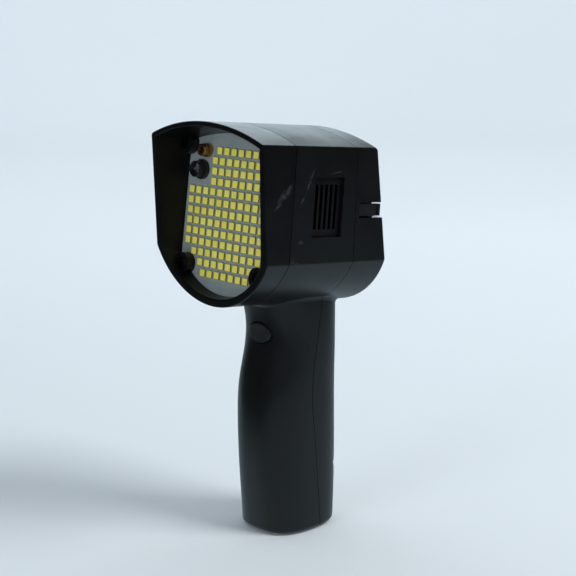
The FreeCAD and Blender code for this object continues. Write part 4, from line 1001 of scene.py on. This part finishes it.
HEAD_SCREW_PLACES = ((34.2, 31.0), (28.5, -26.5))
GRIP_SCREW_PLACES = ((-14.2, 30.0), (14.2, 30.0), (0.0, 83.2))
case_screw = cross_screw("case_screw", 2.25, 1.6, 1.25, 14.0)
case_screw.data.transform(Matrix.Rotation(math.pi, 4, "Z"))
head_set = [copy_at(case_screw, (side * x, 50.0, z)) for x, z in HEAD_SCREW_PLACES for side in (-1, 1)]
for screw in head_set:
    screw.data.transform(SHELL)
grip_set = [copy_at(case_screw, (x, 7.0, z)) for x, z in GRIP_SCREW_PLACES]
bpy.data.objects.remove(case_screw)
fit(joined("case_screw_set", head_set + grip_set), "case_screw_set", "case", dark_screw, ["housing_screws"])

# %% [markdown]
# ## Vent gauze
# Behind the vent slots a fine gauze keeps dust out. It is woven, so its wires pass over and under each other. One
# wavy wire is a thin rod whose rings are moved in and out in turn. Upright copies make the warp and level ones the
# weft, and neighbours are half a wave out of step.

# %% Vent gauze
GAUZE_PITCH = 1.0
GAUZE_WIRE = 0.13


def wavy_wire(length, along_z, phase):
    put_down()
    steps = int(length / GAUZE_PITCH) * 2
    bpy.ops.mesh.primitive_cylinder_add(vertices=6, radius=GAUZE_WIRE * MM, depth=length * MM,
                                        rotation=(0, 0, 0) if along_z else (math.pi / 2, 0, 0))
    wire = bpy.context.object
    settle(wire)
    select_edges(wire, lambda a, b: (b - a).length > length * MM * 0.9)
    bpy.ops.mesh.subdivide(number_cuts=steps - 1)
    put_down()
    for vertex in wire.data.vertices:
        run = vertex.co.z if along_z else vertex.co.y
        vertex.co.x += phase * GAUZE_WIRE * MM * math.cos(math.pi * run / (GAUZE_PITCH * MM))
    return wire


def gauze(side):
    name = "vent_gauze_right" if side > 0 else "vent_gauze_left"
    low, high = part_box(name)
    size = (high - low) / MM
    length_y, length_z = size.y - 0.6, size.z - 0.6
    wires = []
    for length, across, along_z in ((length_z, length_y, True), (length_y, length_z, False)):
        pair = [wavy_wire(length, along_z, phase) for phase in (1, -1)]
        for i in range(int(across / GAUZE_PITCH)):
            offset = (i + 0.5) * GAUZE_PITCH - across / 2
            wires.append(copy_at(pair[i % 2], (0, offset, 0) if along_z else (0, 0, offset)))
        for wire in pair:
            bpy.data.objects.remove(wire)
    sheet_of_wires = joined("gauze", wires)
    middle = (low + high) / 2
    place = Matrix.Translation(middle) @ Matrix.Rotation(-math.radians(SHELL_PITCH), 4, "X")
    fit(sheet_of_wires, name + "_woven", "case", gauze_steel, [name], place)


gauze(1)
gauze(-1)

# %% [markdown]
# ## Display
# The display shows a flash rate. An unlit panel still lets its segments show faintly, so four figures are
# modelled as thin shapes on the panel: a hexagon for each segment, which is a flat block whose two ends are drawn
# to a point, copied seven times for each figure.

# %% Segments of the display
DISPLAY_Z = 15.0
PANEL_FACE = -2.5
SEGMENT_THICKNESS = 0.04


def segment(length, width, upright):
    bar = cube("segment", (-length / 2, 0, -width / 2), (length / 2, SEGMENT_THICKNESS, width / 2))
    for end in (-1, 1):
        select_faces(bar, lambda middle, normal: normal.x * end > 0.9)
        pull(end * width * 0.45 * MM, 0, 0)
        resize((1, 1, 0.08))
        put_down()
    if upright:
        bar.data.transform(Matrix.Rotation(math.pi / 2, 4, "Y"))
    return bar


def figure(x, z, height):
    """A seven-segment figure whose middle is at x, z."""
    arm, width = height * 0.36, height * 0.12
    level = [(0, dz, False) for dz in (height / 2, 0, -height / 2)]
    upright = [(dx, dz, True) for dx in (-arm * 0.72, arm * 0.72) for dz in (height / 4, -height / 4)]
    for dx, dz, stands in level + upright:
        bar = segment(arm, width, stands)
        bar.data.transform(Matrix.Translation(Vector((x + dx, PANEL_FACE, z + dz)) * MM))
        bars.append(bar)


bars = []
for place in (-15.0, -5.2, 4.6, 14.4):
    figure(place, DISPLAY_Z - 2.2, 12.5)
for place in (-17.5, -11.0, -4.5):
    bars.append(segment(4.2, 0.8, False))
    bars[-1].data.transform(Matrix.Translation(Vector((place, PANEL_FACE, DISPLAY_Z + 8.3)) * MM))
figures = joined("display_segments", bars)
fit(figures, "display_segments", "case", segment_dark, (), REAR)

# %% [markdown]
# ## Marks on the keys
# The keys carry plain marks, moulded a hair proud of the rubber and painted white: a broken ring with a bar for
# power, two rings for the mode, arrows for up and down, and doubled arrows for double and halve. Each starts as a
# circle or a block and is shaped by insets, moves and deletions of faces.

# %% Key marks
KEY_TOP = 1.3
MARK = 0.03
KEY_COLUMNS = (-16.5, 0.0, 16.5)
KEY_ROWS = {-8.0: ("power", "mode", "up"), -22.5: ("halve", "double", "down")}
RING_WIDTH = 0.36


def ring_mark(radius, opened=False):
    """A flat ring, with a gap at the top if it is opened."""
    put_down()
    bpy.ops.mesh.primitive_circle_add(vertices=40, radius=radius * MM, fill_type="NGON", rotation=(math.pi / 2, 0, 0))
    ring = bpy.context.object
    settle(ring)
    edit_all(ring)
    bpy.ops.mesh.inset(thickness=RING_WIDTH * MM)
    bpy.ops.mesh.delete(type="FACE")
    if opened:
        select_faces(ring, lambda middle, normal: abs(middle.x) < radius * MM * 0.3 and middle.z > 0)
        bpy.ops.mesh.delete(type="FACE")
    edit_all(ring)
    pull(0, MARK * MM, 0)
    tidy_skin()
    return ring


def arrow_mark(z, down=False):
    arrow = cube("arrow", (-1.7, 0, z - 0.8), (1.7, MARK, z + 0.8))
    tip = -1 if down else 1
    select_faces(arrow, lambda middle, normal: normal.z * tip > 0.9)
    resize((0.06, 1, 1), (0, 0, z * MM))
    put_down()
    return arrow


def bar_mark(low, high):
    bar = cube("bar", (-0.19, 0, low), (0.19, MARK, high))
    select_faces(bar, lambda middle, normal: normal.z > 0.9)
    resize((0.7, 1, 1), (0, 0, high * MM))
    put_down()
    return bar


key_marks = {
    "power": [ring_mark(1.9, opened=True), bar_mark(0.3, 2.2)],
    "mode": [ring_mark(1.8), ring_mark(0.75)],
    "up": [arrow_mark(0.0)],
    "down": [arrow_mark(0.0, down=True)],
    "double": [arrow_mark(1.1), arrow_mark(-1.1)],
    "halve": [arrow_mark(1.1, down=True), arrow_mark(-1.1, down=True)],
}
for z, keys in KEY_ROWS.items():
    for x, key in zip(KEY_COLUMNS, keys):
        mark = joined("mark", key_marks[key])
        mark.data.transform(Matrix.Translation(Vector((x, KEY_TOP, z)) * MM))
        fit(mark, f"key_{key}_mark", f"{key}_key", mark_white, (), REAR)

# %% [markdown]
# ## Trigger
# The trigger's face follows the grip, and its edge is rounded so that it doesn't bite the finger. The CAD solid has
# the shape but a sharp rim. A copy of it is merged into one skin and its sharp edges get a small bevel.

# %% Trigger button
TRIGGER_ROUNDING = 0.35

rounded = NODES["trigger_button"].copy()
rounded.data = rounded.data.copy()
bpy.context.collection.objects.link(rounded)
edit_all(rounded)
bpy.ops.mesh.remove_doubles(threshold=2 * MERGE_DISTANCE)
bpy.ops.mesh.dissolve_limited(angle_limit=math.radians(1.0))
use_modifier(rounded, "BEVEL", width=TRIGGER_ROUNDING * MM, segments=3, limit_method="ANGLE",
             angle_limit=math.radians(50), harden_normals=False)
shade(rounded, 35)
fit(rounded, "trigger_rounded", "trigger", trigger_black, ["trigger_button"])

# %% [markdown]
# ## Trigger spring
# A compression spring stands between the trigger's flange and the small board, and it gets shorter as the trigger
# goes in. The Screw modifier sweeps a small circle round an axis while it moves along, which is just how a spring
# is wound.

# %% Trigger spring
SPRING_RADIUS = 4.8
SPRING_WIRE = 0.25
SPRING_TURNS = 4
TRIGGER_Z = 101.9

spring_low, spring_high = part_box("trigger_spring")
spring_length = (spring_high.y - spring_low.y) / MM
put_down()
bpy.ops.mesh.primitive_circle_add(vertices=12, radius=SPRING_WIRE * MM, location=(SPRING_RADIUS * MM, 0, 0))
spring = bpy.context.object
spring.name = "trigger_coil"
settle(spring)
use_modifier(spring, "SCREW", axis="Y", angle=2 * math.pi, iterations=SPRING_TURNS, steps=30, render_steps=30,
             screw_offset=(spring_length - 2 * SPRING_WIRE) / SPRING_TURNS * MM)
edit_all(spring)
bpy.ops.mesh.fill_holes(sides=0)
tidy_skin()
shade(spring, 50)
start = Matrix.Translation((0, spring_low.y + SPRING_WIRE * MM, TRIGGER_Z * MM))
fit(spring, "trigger_coil", "case", steel, ["trigger_spring"], start)
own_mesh(spring)
print("spring length, mm", round(spring_length, 2))
